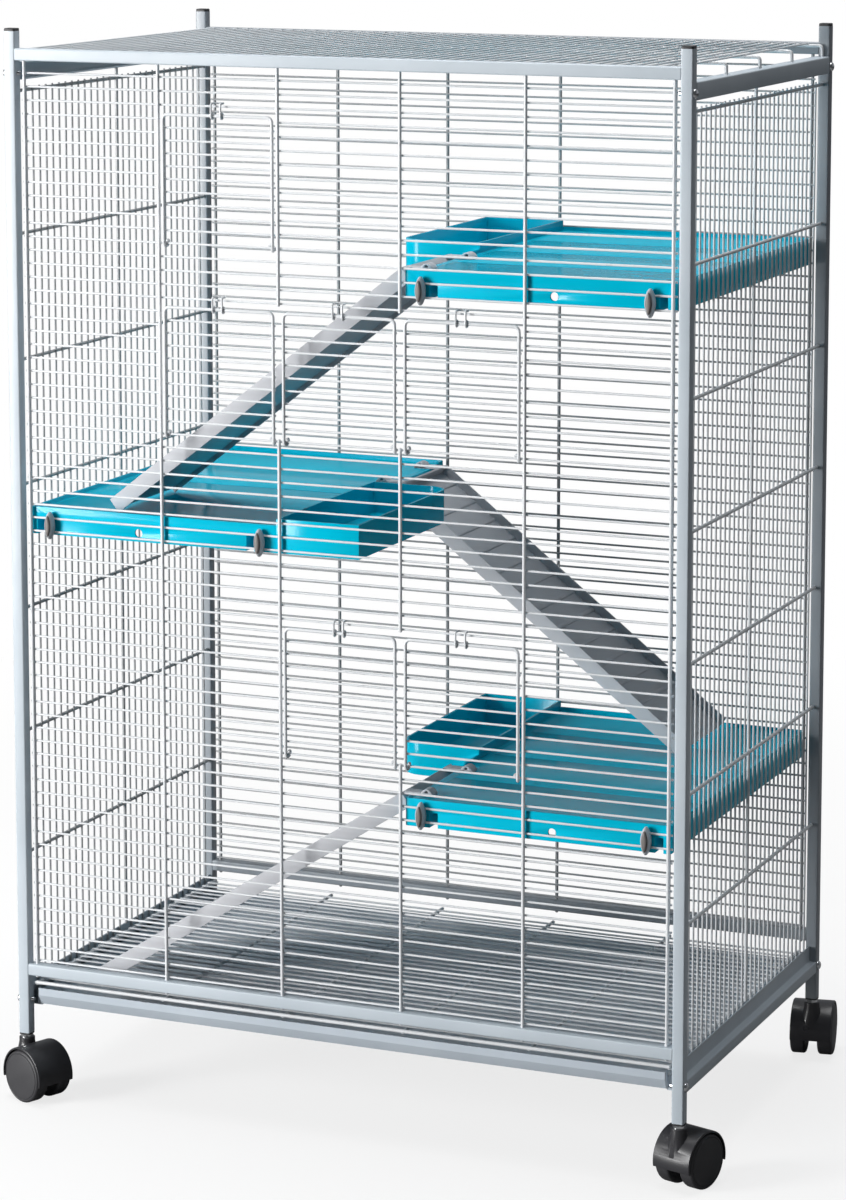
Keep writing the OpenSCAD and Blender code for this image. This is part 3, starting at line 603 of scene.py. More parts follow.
def make_posts():
    for name, (sx, sy, _) in CASTERS.items():
        bm = bmesh.new()
        square_tube(bm, Vector((sx * POST_X, sy * POST_Y, CASTER_H)), X, Y, Z, POST_H)
        # Back posts take the darker copy of the paint: painted shade.
        look = STEEL if sy < 0 else STEEL_PAINTED_SHADE
        add_piece("post_tube_" + name, bm, look, "frame_steel", "frame", "post_" + name)


def make_cross_rails():
    # Back rails take the darker copy of the paint: painted shade.
    for side, sy, look in (("front", -1, STEEL), ("back", 1, STEEL_PAINTED_SHADE)):
        for level, z in (("top", TOP_RAIL_Z), ("bottom", BOTTOM_RAIL_Z)):
            bm = bmesh.new()
            origin = Vector((-FX + POST_T, sy * POST_Y, z + POST_T / 2))
            square_tube(bm, origin, Y, Z, X, FRAME_W - 2 * POST_T)
            name = f"{side}_{level}"
            add_piece(name + "_tube", bm, look, "frame_steel", "frame", name + "_rail")


def side_origin(sx):
    """Corner and inward direction of a side of the frame."""
    return Vector((sx * FX, 0, 0)), Vector((-sx, 0, 0))


def make_side_rails():
    length = FRAME_D - 2 * POST_T
    for side, sx in (("left", -1), ("right", 1)):
        corner, inward = side_origin(sx)
        start = corner - Y * (length / 2)
        points = [(CHANNEL_FLANGE, 0), (0, 0), (0, SIDE_RAIL_H), (CHANNEL_FLANGE, SIDE_RAIL_H)]
        channel = sheet_outline(points, -SHEET_T, CHANNEL_BEND)
        bm = bmesh.new()
        prism(bm, channel, start + Z * SIDE_RAIL_Z, inward, Z, Y, length)
        add_piece(side + "_top_channel", bm, STEEL, "frame_steel", "frame", side + "_top_rail")
        points = [
            (RUNNER_W, 0), (0, 0), (0, RUNNER_LOW_H), (RUNNER_STEP, RUNNER_LOW_H),
            (RUNNER_STEP, RUNNER_LOW_H + RUNNER_HIGH_H),
        ]
        runner = sheet_outline(points, -SHEET_T, RUNNER_BEND)
        bm = bmesh.new()
        prism(bm, runner, start + Z * RUNNER_Z, inward, Z, Y, length)
        root = RUNNER_STEP + SHEET_T
        ledge = [(root, 0), (LEDGE_OUT, 0), (LEDGE_OUT, -SHEET_T), (root, -SHEET_T)]
        prism(bm, ledge, start + Z * LEDGE_Z, inward, Z, Y, length)
        add_piece(side + "_runner", bm, STEEL, "frame_steel", "frame", side + "_bottom_rail")


def make_caps():
    bm = bmesh.new()
    for sx in (-1, 1):
        for sy in (-1, 1):
            rings = []
            for z, inset in CAP_LAYERS:
                width = POST_T - 2 * inset
                rings.append([
                    (sx * POST_X + a, sy * POST_Y + b, POST_TOP + z)
                    for a, b in rounded(width, width, CAP_CORNER - inset)
                ])
            loft(bm, rings)
    add_piece("cap_set", bm, CAP, "cap_black", "frame", "post_caps")


def make_bolts():
    bm = bmesh.new()
    for sx in (-1, 1):
        for sy in (-1, 1):
            for z in BOLT_ZS:
                at = (sx * FX, sy * POST_Y, z)
                lathe(bm, BOLT_DOME, at, (sx, 0, 0), 32)
                lathe(bm, BOLT_SHANK, at, (sx, 0, 0), 24)
    add_piece("bolt_set", bm, ZINC, "bolt_zinc", "frame", "frame_bolts")


# ---- Wire panels ----

# Half extents of a weld bead: along the thin wire, out from the panel, and along the heavy wire.
BEAD_L, BEAD_T, BEAD_W = 1.9, 0.9, 1.2
BEAD_SUNK = 0.1
DRIFT = 0.12
TOP_MARGIN, TOP_BEND, TOP_HOOK = 10, 4, 3
GRATE_MARGIN = 10
# Reach of wires past the last crossing wire and into the posts, and the tray lip's end.
LEVEL_OVER, SIDE_OVER, LIP_OVER, LIP_END_GAP = 2, 4, 1, 8


def thin_wire(bm, a, b):
    sweep(bm, (a, b), WIRE_D, THIN_SIDES)


def heavy_wire(bm, a, b, diameter=ROD_D):
    sweep(bm, (a, b), diameter, ROD_SIDES)


def rod_spans(x, windows):
    """Heights over which the heavy wire at x stands; between two doors of a row there is none."""
    spans, low = [], BOTTOM_RAIL_Z - ROD_BELOW
    for name in reversed(BESIDE if windows else ()):
        col, height = DOORS[name]
        if abs(x - (col + 0.5) * COLUMN_W) < 1:
            spans.append((low, hinge_z(height) + ROD_END))
            low = hinge_z(height) + OPENING_LEVELS * LEVEL_PITCH - ROD_END
    return spans + [(low, TOP_RAIL_Z + TUBE_WALL + ROD_ABOVE)]


def door_cuts(z, windows):
    """Spans that the doors' openings take out of the thin wire at z; neighbours join."""
    cuts = []
    for col, height in sorted(windows):
        low = hinge_z(height) + LEVEL_PITCH / 2
        high = hinge_z(height) + (OPENING_LEVELS - 0.5) * LEVEL_PITCH
        if not low < z < high:
            continue
        if cuts and abs(cuts[-1][1] - (col - 0.5) * COLUMN_W) < 1:
            cuts[-1][1] += COLUMN_W
        else:
            cuts.append([(col - 0.5) * COLUMN_W, (col + 0.5) * COLUMN_W])
    return cuts


def make_level_panel(side, sy, look, windows):
    rng = random.Random(11 if sy < 0 else 12)
    bm = bmesh.new()
    reach = EDGE_X + ROD_D / 2 + LEVEL_OVER
    y = sy * LEVEL_Y
    for k in range(LEVELS):
        z = level_z(k) + rng.uniform(-DRIFT, DRIFT)
        cuts = door_cuts(z, windows)
        stops = [-reach]
        for low, high in cuts:
            stops += [low, high]
        stops.append(reach)
        for low, high in zip(stops[::2], stops[1::2]):
            if high - low > 1:
                thin_wire(bm, (low, y, z), (high, y, z))
        for x in ROD_XS:
            if not any(low < x < high for low, high in cuts):
                bead(bm, (x, sy * (LEVEL_Y + WIRE_D / 2 - BEAD_SUNK), z), (BEAD_L, BEAD_T, BEAD_W))
    for x in ROD_XS:
        for low, high in rod_spans(x, windows):
            heavy_wire(bm, (x, sy * PANEL_Y, low), (x, sy * PANEL_Y, high))
    add_piece(side + "_wires", bm, look, "wire_steel", "frame", side + "_panel")


def make_side_panels():
    rod_half = FY - POST_T + SIDE_OVER
    pitch = (FRAME_D - 2 * POST_T) / SIDE_SPACES
    # The left panel takes the darker copy of the wire paint: painted shade.
    for side, sx, look in (("left", -1, WIRE_PAINTED_SHADE), ("right", 1, WIRE)):
        rng = random.Random(21 + sx)
        bm = bmesh.new()
        thin_x, rod_x = sx * (FX - SIDE_THIN_U), sx * (FX - SIDE_ROD_U)
        for z in SIDE_ROD_ZS:
            heavy_wire(bm, (rod_x, -rod_half, z), (rod_x, rod_half, z))
        for i in range(1, SIDE_SPACES):
            y = -FY + POST_T + i * pitch + rng.uniform(-DRIFT, DRIFT)
            if i == SIDE_SPACES // 2:
                x = sx * (FX - SIDE_ROD_U - FLAT * ROD_D + WELD)
                heavy_wire(bm, (x, 0, RUNNER_TOP + 0.2), (x, 0, SIDE_RAIL_Z - 0.2))
                continue
            thin_wire(bm, (thin_x, y, LEDGE_Z + RUN_GAP), (thin_x, y, SIDE_ROD_TOP + ROD_D))
            bead_x = sx * (FX - SIDE_THIN_U + WIRE_D / 2 - BEAD_SUNK)
            for z in SIDE_ROD_ZS:
                bead(bm, (bead_x, y, z), (BEAD_T, BEAD_W, BEAD_L))
        add_piece(side + "_wires", bm, look, "wire_steel", "frame", side + "_panel")


def make_top_panel():
    rng = random.Random(31)
    bm = bmesh.new()
    count = int((FX - POST_T - TOP_MARGIN) / TOP_PITCH)
    half = FY - POST_T - TOP_EDGE_GAP
    for i in range(-count, count + 1):
        x = i * TOP_PITCH + rng.uniform(-DRIFT, DRIFT)
        thin_wire(bm, (x, -half, TOP_Z), (x, half, TOP_Z))
        for y in TOP_ROD_YS:
            bead(bm, (x, y, TOP_Z - WIRE_D / 2 + BEAD_SUNK), (BEAD_W, BEAD_L, BEAD_T))
    end = FX - TOP_ROD_U
    low = SIDE_RAIL_Z + SIDE_RAIL_H - TOP_HOOK
    for y in TOP_ROD_YS:
        corners = ((-end, y, low), (-end, y, TOP_ROD_Z), (end, y, TOP_ROD_Z), (end, y, low))
        sweep(bm, bent(corners, TOP_BEND, 6), ROD_D, ROD_SIDES)
    add_piece("top_wires", bm, WIRE, "wire_steel", "frame", "top_panel")


def make_grate():
    rng = random.Random(41)
    bm = bmesh.new()
    rod_xs = [k * (GRATE_X - ROD_D / 2) for k in GRATE_RODS]
    for x in rod_xs:
        heavy_wire(bm, (x, GRATE_FRONT, GRATE_ROD_Z), (x, GRATE_BACK, GRATE_ROD_Z))
    count = int((GRATE_BACK - GRATE_FRONT - GRATE_MARGIN) / GRATE_PITCH)
    for k in range(1, count + 1):
        y = GRATE_FRONT + k * GRATE_PITCH + rng.uniform(-DRIFT, DRIFT)
        thin_wire(bm, (-GRATE_X, y, GRATE_Z), (GRATE_X, y, GRATE_Z))
        for x in rod_xs:
            bead(bm, (x, y, GRATE_Z - WIRE_D / 2 + BEAD_SUNK), (BEAD_L, BEAD_W, BEAD_T))
    lip = [(x, GRATE_FRONT, GRATE_LIP_Z) for x in (-GRATE_X, GRATE_X)]
    heavy_wire(bm, lip[0], lip[1], GRATE_LIP_D)
    add_piece("grate_wires", bm, WIRE, "wire_steel", "grate", "floor_grate")


def make_tray():
    bm = bmesh.new()
    lip_top = TRAY_Z + TRAY_LIP_H + LIP_OVER
    lip_x = FX - POST_T - LIP_END_GAP
    flat = lip_top - LIP_FLAT
    front = [(0, lip_top), (0, flat), (LIP_OUT, TRAY_Z), (LIP_OUT + LIP_TONGUE, TRAY_Z)]
    lip = sheet_outline(front, TRAY_T, TRAY_BEND)
    prism(bm, lip, Vector((-lip_x, TRAY_FRONT, 0)), Y, Z, X, 2 * lip_x)
    back = LIP_OUT + TRAY_T
    end = [(0, lip_top), (0, flat), (LIP_OUT, TRAY_Z), (back, TRAY_Z), (back, lip_top)]
    for x in (-lip_x, lip_x - TRAY_T):
        plate = solid(prism, end, Vector((x, TRAY_FRONT, 0)), Y, Z, X, TRAY_T)
        chamfer(plate, 0.35)
        absorb(bm, plate)
    y0, y1 = TRAY_FRONT + LIP_OUT, TRAY_BACK
    floor = solid(block, (-TRAY_X, y0, TRAY_Z), (TRAY_X, y1, TRAY_Z + TRAY_H), 0.3)
    low = (-TRAY_X + TRAY_T, y0 + TRAY_T, TRAY_Z + TRAY_T)
    hollow = solid(block, low, (TRAY_X - TRAY_T, y1 - TRAY_T, TRAY_Z + 2 * TRAY_H), 0.3)
    absorb(bm, boolean(floor, [hollow]))
    add_piece("tray_pan", bm, TRAY, "frame_steel", "tray", "floor_tray")


# ---- Doors and latches ----

# A coil turns nearly once round the panel's wire and creeps inwards by its own width.
COIL_STEPS, COIL_TURN, COIL_CREEP = 14, 330, 3.7
DOOR_WIRE_OVER = 1.5
DOOR_BEAD = (1.7, 0.8, 1.2)
LATCH_PLAY, LATCH_BACK, LATCH_LEG, LATCH_BEND = 1.1, 0.4, 1.0, 2.6


def make_doors():
    mid = DOOR_HALF - DOOR_ROD / 2
    for name, (col, height) in DOORS.items():
        bm = bmesh.new()
        at = Vector((col * COLUMN_W, -DOOR_Y, hinge_z(height)))
        corners = [(-mid, 0, 0), (-mid, 0, DOOR_H), (mid, 0, DOOR_H), (mid, 0, 0)]
        frame_path = bent(corners, DOOR_R - DOOR_ROD / 2, 6)
        coil = []
        for i in range(1, COIL_STEPS + 1):
            a = math.radians(COIL_TURN * i / COIL_STEPS)
            x = -mid + COIL_CREEP * i / COIL_STEPS
            coil.append(Vector((x, COIL_R - COIL_R * math.cos(a), -COIL_R * math.sin(a))))
        other = [Vector((-p.x, p.y, p.z)) for p in coil]
        path = list(reversed(coil)) + frame_path + other
        sweep(bm, [at + p for p in path], DOOR_ROD, ROD_SIDES)
        y = (DOOR_ROD + WIRE_D) / 2 - WELD
        end = mid + DOOR_WIRE_OVER
        for k in range(1, DOOR_WIRES + 1):
            z = k * DOOR_PITCH
            thin_wire(bm, at + Vector((-end, y, z)), at + Vector((end, y, z)))
            for x in (-mid, mid):
                bead(bm, at + Vector((x, y - WIRE_D / 2, z)), DOOR_BEAD)
        add_piece("door_wires_" + name, bm, WIRE, "wire_steel", "door_" + name, "door_" + name)


def make_latches():
    over = OPENING_LEVELS * LEVEL_PITCH - DOOR_H + WIRE_D / 2 + LATCH_WIRE / 2 + LATCH_PLAY
    back = COIL_R + WIRE_D / 2 + LATCH_WIRE / 2 + LATCH_BACK
    half = LATCH_W / 2 - LATCH_WIRE / 2
    corners = (
        (-half, -LATCH_R, LATCH_LEG), (-half, -LATCH_R, over), (-half, back, over),
        (half, back, over), (half, -LATCH_R, over), (half, -LATCH_R, LATCH_LEG),
    )
    ring_points = arc((0, 0, 0), LATCH_R, -160, 170, 14, Y, -Z)
    eye = [Vector((-half, p.y, p.z)) for p in ring_points]
    far = [Vector((half, p.y, p.z)) for p in reversed(ring_points)]
    path = eye + bent(corners, LATCH_BEND, 5) + far
    for name, (col, height) in DOORS.items():
        bm = bmesh.new()
        at = Vector((col * COLUMN_W, -DOOR_Y, hinge_z(height) + DOOR_H))
        sweep(bm, [at + p for p in path], LATCH_WIRE, THIN_SIDES)
        add_piece("latch_wire_" + name, bm, WIRE, "wire_steel", "latch_" + name, "latch_" + name)


# ---- Shelves ----

# A cut reaches OVER the face that it opens, THROUGH a wall on both sides, or LOFTY over a rim.
OVER, THROUGH, LOFTY = 1, 5, 20
SLOT_W, SLOT_H = 5.2, 13.0
VENT_R, VENT_AT, VENT_UP = 4.5, 0.56, 9
GROOVE_W, GROOVE_DEEP, GROOVE_END = 2, 0.6, 10
RIB_T, RIB_H, RIB_IN, RIBS_ALONG, RIBS_ACROSS = 1.6, 7, 1.5, 4, 6
RAMP_ROOM = 4


def upright(bm, outline, z0, z1):
    """Straight prism of an (x, y) outline between two heights."""
    prism(bm, outline, Vector((0, 0, z0)), X, Y, Z, z1 - z0)


def tub_outline(inset):
    low_x, high_x = -TUB_L + inset, SHELF_WALL - inset
    low_y, high_y = SHELF_W / 2 - TUB_W + inset, SHELF_W / 2 - inset
    r = TUB_R - inset
    corner = [(p.x, p.y) for p in arc((low_x + r, low_y + r, 0), r, 180, 270, 10)]
    return corner + [(high_x, low_y), (high_x, high_y), (low_x, high_y)]


def centred_outline(inset, r):
    return rounded(SHELF_L - 2 * inset, SHELF_W - 2 * inset, r, (SHELF_L / 2, 0))


def shelf_blank():
    """Shelf and tub hollowed out from above and the deck from below."""
    body = solid(upright, centred_outline(0, 4), 0, SKIRT_H)
    tub = solid(upright, tub_outline(0), 0, SKIRT_H + TUB_RISE)
    body = boolean(body, [tub], "UNION")
    inside = centred_outline(SHELF_WALL, 2)
    rim = solid(upright, inside, DECK_TOP, SKIRT_H + LOFTY)
    under = solid(upright, inside, -OVER, DECK_TOP - SHELF_WALL)
    hollow = solid(upright, tub_outline(SHELF_WALL), SHELF_WALL, SKIRT_H + 2 * LOFTY)
    return boolean(body, [rim, under, hollow])


def shelf_pockets():
    """Boxes behind the notches that take the bars of the knobs."""
    pockets = bmesh.new()
    wide, deep = NOTCH_W + 2 * POCKET_WALL, NOTCH_DEEP + POCKET_WALL
    for u in KNOB_US:
        x = u + NOTCH_AT - POCKET_WALL
        for y in (-SHELF_W / 2 + 0.2, SHELF_W / 2 - deep):
            block(pockets, (x, y, 0), (x + wide, y + deep - 0.2, NOTCH_H + POCKET_WALL))
    return pockets


def shelf_cuts():
    """Gap in the rim for the ramp, slots and notches for the knobs, and round vents."""
    cuts = []

    def cut(low, high):
        cuts.append(solid(block, low, high))

    near = -SHELF_W / 2 + RAMP_SIDE
    far = near + RAMP_W + RAMP_ROOM
    cut((-OVER, near - RAMP_ROOM, DECK_TOP), (SHELF_WALL + OVER, far, SKIRT_H + LOFTY))
    half_w, half_h = SLOT_W / 2, SLOT_H / 2
    for u in KNOB_US:
        x = u + NOTCH_AT
        for sy in (-1, 1):
            y = sy * SHELF_W / 2
            low = (u - half_w, y - THROUGH, KNOB_UP - half_h)
            cut(low, (u + half_w, y + THROUGH, KNOB_UP + half_h))
            cut((x, y - NOTCH_DEEP, -OVER), (x + NOTCH_W, y + NOTCH_DEEP, NOTCH_H))
    vents = bmesh.new()
    angles = [2 * math.pi * k / 24 for k in range(24)]
    circle = [(VENT_R * math.cos(a), VENT_R * math.sin(a)) for a in angles]
    for sy in (-1, 1):
        at = Vector((SHELF_L * VENT_AT, sy * SHELF_W / 2 - THROUGH, VENT_UP))
        prism(vents, circle, at, X, Z, Y, 2 * THROUGH)
    return cuts + [vents]


def shelf_grooves():
    grooves = bmesh.new()
    for k in (1, 2, 3):
        y = -SHELF_W / 2 + k * SHELF_W / 4
        low = (GROOVE_END, y, DECK_TOP - GROOVE_DEEP)
        block(grooves, low, (SHELF_L - GROOVE_END, y + GROOVE_W, SKIRT_H + THROUGH))
    return grooves


def shelf_ribs():
    ribs = bmesh.new()
    low, high = DECK_TOP - SHELF_WALL - RIB_H, DECK_TOP - 1
    half = RIB_T / 2
    for k in range(1, RIBS_ALONG + 1):
        x = SHELF_L * k / (RIBS_ALONG + 1)
        reach = SHELF_W / 2 - RIB_IN
        block(ribs, (x - half, -reach, low), (x + half, reach, high), 0.3)
    for k in range(1, RIBS_ACROSS + 1):
        y = -SHELF_W / 2 + SHELF_W * k / (RIBS_ACROSS + 1)
        block(ribs, (RIB_IN, y - half, low), (SHELF_L - RIB_IN, y + half, high), 0.3)
    return ribs


def shelf_mesh():
    """One shelf in its own place: deck edge at x = 0, tub towards -X at the back."""
    body = boolean(shelf_blank(), [shelf_pockets()], "UNION")
    body = boolean(body, shelf_cuts())
    body = boolean(body, [shelf_grooves()])
    chamfer(body, 0.55)
    absorb(body, shelf_ribs())
    return body


def make_shelves():
    master = shelf_mesh()
    for name, (z, hand) in SHELVES.items():
        bm = master.copy()
        turn = Matrix.Rotation(0 if hand > 0 else math.pi, 4, "Z")
        bm.transform(turn @ Matrix.Translation((SHELF_X, 0, z)))
        add_piece(
            "shelf_moulding_" + name, bm, SHELF, "shelf_plastic", "frame", "shelf_" + name)
    master.free()


def almond(w, l):
    """Outline of two arcs that meet in blunt tips, l high and w wide."""
    steps, blunt = 14, 0.55
    reach = KNOB_L * KNOB_TIPS
    r = (reach * reach + KNOB_W * KNOB_W) / (4 * KNOB_W)
    tip = math.sqrt(r * r - KNOB_L * KNOB_L / 4) - r + KNOB_W / 2
    sides = []
    for k in range(steps + 1):
        z = -KNOB_L / 2 + KNOB_L * k / steps
        half = math.sqrt(r * r - z * z) - r + KNOB_W / 2
        share = min(1, (1 - abs(2 * k / steps - 1)) * steps / 2 + 0.35)
        half = tip * blunt + (half - tip * blunt) * share
        sides.append((half * w / KNOB_W, z * l / KNOB_L))
    return sides + [(-a, b) for a, b in reversed(sides)]


# Layers of a knob as (distance out, narrower by, shorter by): the rim that turns, and its face.
KNOB_RIM_LAYERS = (
    (0, 1, 1), (0.5, 0, 0), (3.4, 0, 0), (4.2, 0.3, 0.5), (4.9, 1.3, 1.9), (6.3, 2.4, 3.6),
    (7.1, 3.2, 4.8), (7.2, 4.0, 6.0), (6.6, 4.6, 6.8), (5.2, 4.8, 7.0),
)
KNOB_FACE_LAYERS = (
    (5.0, 5.0, 7.4), (7.6, 5.2, 7.6), (8.5, 6.0, 9.0), (KNOB_T - 0.1, 7.2, 12.5),
    (KNOB_T, 9.2, 18),
)
KNOB_NECK_R = 2.2
KNOB_STEM = [
    (-0.5, 0), (-0.5, KNOB_NECK_R), (6.0, KNOB_NECK_R), (6.0, KNOB_BAR / 2),
    (8.4, KNOB_BAR / 2), (8.4, 0),
]


def knob_layers(bm, at, layers):
    loft(bm, [
        [at + Vector((a, -out, b)) for a, b in almond(KNOB_W - narrower, KNOB_L - shorter)]
        for out, narrower, shorter in layers
    ])


def make_knobs():
    head_y = -LEVEL_Y - FLAT * WIRE_D / 2 - RUN_GAP
    for name, (shelf, index) in KNOBS.items():
        z, hand = SHELVES[shelf]
        at = Vector((hand * (SHELF_X + KNOB_US[index]), head_y, knob_z(z)))
        knob = "knob_" + name
        bm = bmesh.new()
        knob_layers(bm, at, KNOB_RIM_LAYERS)
        lathe(bm, KNOB_STEM, at, (0, 1, 0), 32)
        # The rim takes the pale grey: painted reflection.
        add_piece("knob_turn_" + name, bm, KNOB_RIM_PAINTED_SHEEN, "knob_plastic", knob, knob, sharp=50)
        bm = bmesh.new()
        knob_layers(bm, at, KNOB_FACE_LAYERS)
        add_piece("knob_face_" + name, bm, KNOB, "knob_plastic", knob, sharp=50)


# ---- Ramps ----


def ramp_fall(name):
    order = list(SHELVES)
    z = SHELVES[name][0]
    start = z + DECK_TOP + RUN_GAP + HOOK_T
    if name == "lower":
        return start - FOOT_GAP - (GRATE_Z + FLAT * WIRE_D / 2)
    return start - FOOT_GAP - (SHELVES[order[order.index(name) + 1]][0] + DECK_TOP)


def grip(bm, at):
    """Half round hump on a hook, with a hole through it."""
    steps = 24
    angles = [math.pi * k / steps for k in range(steps + 1)]
    outline = [(HUMP_H * math.cos(a), HUMP_H * math.sin(a)) for a in angles]
    hump = solid(prism, outline, at - Y * (HOOK_W / 2), X, Z, Y, HOOK_W)
    r = HUMP_HOLE / 2
    profile = [(-HOOK_W, 0), (-HOOK_W, r), (HOOK_W, r), (HOOK_W, 0)]
    hole = solid(lathe, profile, at + Z * (HUMP_H * 0.5 + 0.4), Y, 24)
    hump = boolean(hump, [hole])
    chamfer(hump, 0.6, 50)
    absorb(bm, hump)


def ramp_trough(bm):
    """Side walls, floor, top wall and treads of a ramp that lies level."""
    inner = RAMP_W / 2 - RAMP_WALL
    floor_z = RAMP_DECK - RAMP_H
    floor_top = floor_z + RAMP_WALL
    for sy in (-1, 1):
        y = sorted((sy * inner, sy * RAMP_W / 2))
        block(bm, (0, y[0], -RAMP_H), (RAMP_L, y[1], 0), 0.8)
    wide = inner + 0.5
    block(bm, (0, -wide, floor_z), (RAMP_L, wide, floor_top), 0.4)
    block(bm, (0, -wide, -RAMP_H), (RAMP_WALL, wide, 0), 0.8)
    wide = inner + 0.3
    for k in range(RAMP_TREADS):
        x = (k + 0.6) * RAMP_L / RAMP_TREADS
        block(bm, (x, -wide, floor_top - 0.5), (x + TREAD_L, wide, floor_top + TREAD_H), 0.7)


def make_ramps():
    for name, (z, hand) in SHELVES.items():
        bm = bmesh.new()
        ramp_trough(bm)
        fall = math.asin(ramp_fall(name) / math.hypot(RAMP_L, RAMP_H))
        bm.transform(Matrix.Rotation(fall - math.atan(RAMP_H / RAMP_L), 4, "Y"))
        tip = -HOOK_REACH - HOOK_OUT
        for sy in (-1, 1):
            y, half = sy * HOOK_SPAN / 2, HOOK_W / 2
            block(bm, (tip, y - half, -HOOK_T), (RAMP_WALL / 2, y + half, 0), 0.7)
            grip(bm, Vector((tip + HUMP_H, y, -HOOK_T)))
        turn = Matrix.Rotation(math.pi if hand > 0 else 0, 4, "Z")
        hook_z = z + DECK_TOP + RUN_GAP + HOOK_T
        at = Vector((hand * (SHELF_X - HOOK_OUT), hand * RAMP_Y, hook_z))
        bm.transform(Matrix.Translation(at) @ turn)
        ramp_name = "ramp_" + name
        add_piece("ramp_moulding_" + name, bm, RAMP, "ramp_plastic", ramp_name, ramp_name)


# ---- Casters ----

HUB = Vector((TRAIL, 0, WHEEL_R))
FINE = 128
WEB_R, PIN_PLAY, PIN_DEEP = 9, 0.05, 16


def quarter(count, first=0):
    """Angles of a quarter turn in count steps, from step first on."""
    return [math.pi / 2 / count * i for i in range(first, count + 1)]


def make_hood(place):
    """Drum cut off low, open on both outer sides, with a boss, a web and its hub."""
    edge = 0.6 * RIM_T
    rim = [(HOOD_HALF, 0), (HOOD_HALF, HOOD_R - edge)]
    rim += [
        (HOOD_HALF - edge + edge * math.cos(a), HOOD_R - edge + edge * math.sin(a))
        for a in quarter(4, 1)
    ]
    drum = solid(lathe, [(-x, r) for x, r in rim] + list(reversed(rim)), HUB, Y, FINE)
    low, r = BOSS_TOP - BOSS_L, BOSS_D / 2
    profile = [
        (low, 0), (low, r + BOSS_FLARE), (BOSS_TOP - BOSS_NECK, r), (BOSS_TOP - 0.6, r),
        (BOSS_TOP, r - 0.6), (BOSS_TOP, 0),
    ]
    boss = solid(lathe, profile, (0, 0, 0), Z, 64)
    hood = boolean(drum, [boss], "UNION")
    cuts = []
    well_r = WHEEL_R + HOOD_GAP
    for side in (-1, 1):
        near, far = side * WEB_W / 2, side * 40
        profile = [(near, 0), (near, well_r - 1), (near + side, well_r), (far, well_r), (far, 0)]
        cuts.append(solid(lathe, profile, HUB, Y, FINE))
    cuts.append(solid(block, (-60, -60, -60), (100, 60, HOOD_LOW)))
    start, r = BOSS_TOP - PIN_DEEP, PIN_D / 2 + PIN_PLAY
    pin_hole = [(start, 0), (start, r), (90, r), (90, 0)]
    cuts.append(solid(lathe, pin_hole, (0, 0, 0), Z, 48))
    hood = boolean(hood, cuts)
    chamfer(hood, 0.35)
    half, r = WEB_W / 2, AXLE_D / 2 + PIN_PLAY
    web = [(-half, r), (-half, WEB_R), (half, WEB_R), (half, r), (-half, r)]
    absorb(hood, solid(lathe, web, HUB, Y, 48))
    hood.transform(place)
    return hood


def wheel_profile():
    """Half section of a wheel from its inner face to the middle of its domed outer face."""
    face, edge = WHEEL_W / 2, WHEEL_EDGE
    flat_r = WHEEL_R - edge
    profile = [(-face, 0), (-face, flat_r)]
    profile += [
        (-face + edge - edge * math.cos(a), flat_r + edge * math.sin(a)) for a in quarter(6, 1)
    ]
    profile += [
        (face - edge + edge * math.sin(a), flat_r + edge * math.cos(a)) for a in quarter(6)[:-1]
    ]
    profile += [
        (face - 0.1, flat_r + 0.5), (face - 0.5, flat_r), (face - 0.5, flat_r - 0.7),
        (face, flat_r - 1.0),
    ]
    radii = [flat_r * k / 10 for k in range(9, 0, -1)]
    profile += [(face + WHEEL_DOME * (1 - (r / flat_r) ** 2), r) for r in radii]
    return profile + [(face + WHEEL_DOME, 0)]


def make_wheel_pair(place):
    """Two wheels with domed outer faces and a groove near the rim, on one axle."""
    wheels = bmesh.new()
    for side in (-1, 1):
        lathe(wheels, wheel_profile(), HUB + Y * (side * WHEEL_Y), Y * side, FINE)
    reach, r = WHEEL_Y, AXLE_D / 2
    lathe(wheels, [(-reach, 0), (-reach, r), (reach, r), (reach, 0)], HUB, Y, 32)
    wheels.transform(place)
    return wheels


def make_casters():
    for name, (sx, sy, yaw) in CASTERS.items():
        turn = Matrix.Rotation(math.radians(yaw), 4, "Z")
        place = Matrix.Translation((sx * POST_X, sy * POST_Y, 0)) @ turn
        for piece, make, look, body, node in (
            ("hood_shell_", make_hood, BLACK, "swivel_", "caster_hood_"),
            ("wheel_pair_", make_wheel_pair, TREAD, "wheels_", "caster_wheels_"),
        ):
            add_piece(piece + name, make(place), look, "caster_black", body + name, node + name)


def dress(node, look):
    """Gives a CAD node that stays its own material."""
    mesh = nodes[node].data
    mesh.materials.clear()
    mesh.materials.append(look)
    mesh.shade_smooth()
    mesh.set_sharp_from_angle(angle=math.radians(35))


def dress_nodes():
    dress("post_plugs", CAP)
    for name in CASTERS:
        dress("caster_stem_" + name, CHROME)


# ---- Stage, light and camera ----

# Share of the floor's own light, its tone where lights shade it and where it throws light
# back, and the distances in metres between which the shading fades out.
FLOOR_GLOW, FLOOR_SHADED, FLOOR_BOUNCE = 0.78, 0.9, 0.25
FADE_FROM, FADE_TO = 0.7, 2.2


def mix(tree, fac, first, second):
    node = tree.nodes.new("ShaderNodeMixShader")
    if isinstance(fac, float):
        node.inputs["Fac"].default_value = fac
    else:
        tree.links.new(fac, node.inputs["Fac"])
    tree.links.new(first, node.inputs[1])
    tree.links.new(second, node.inputs[2])
    return node.outputs["Shader"]


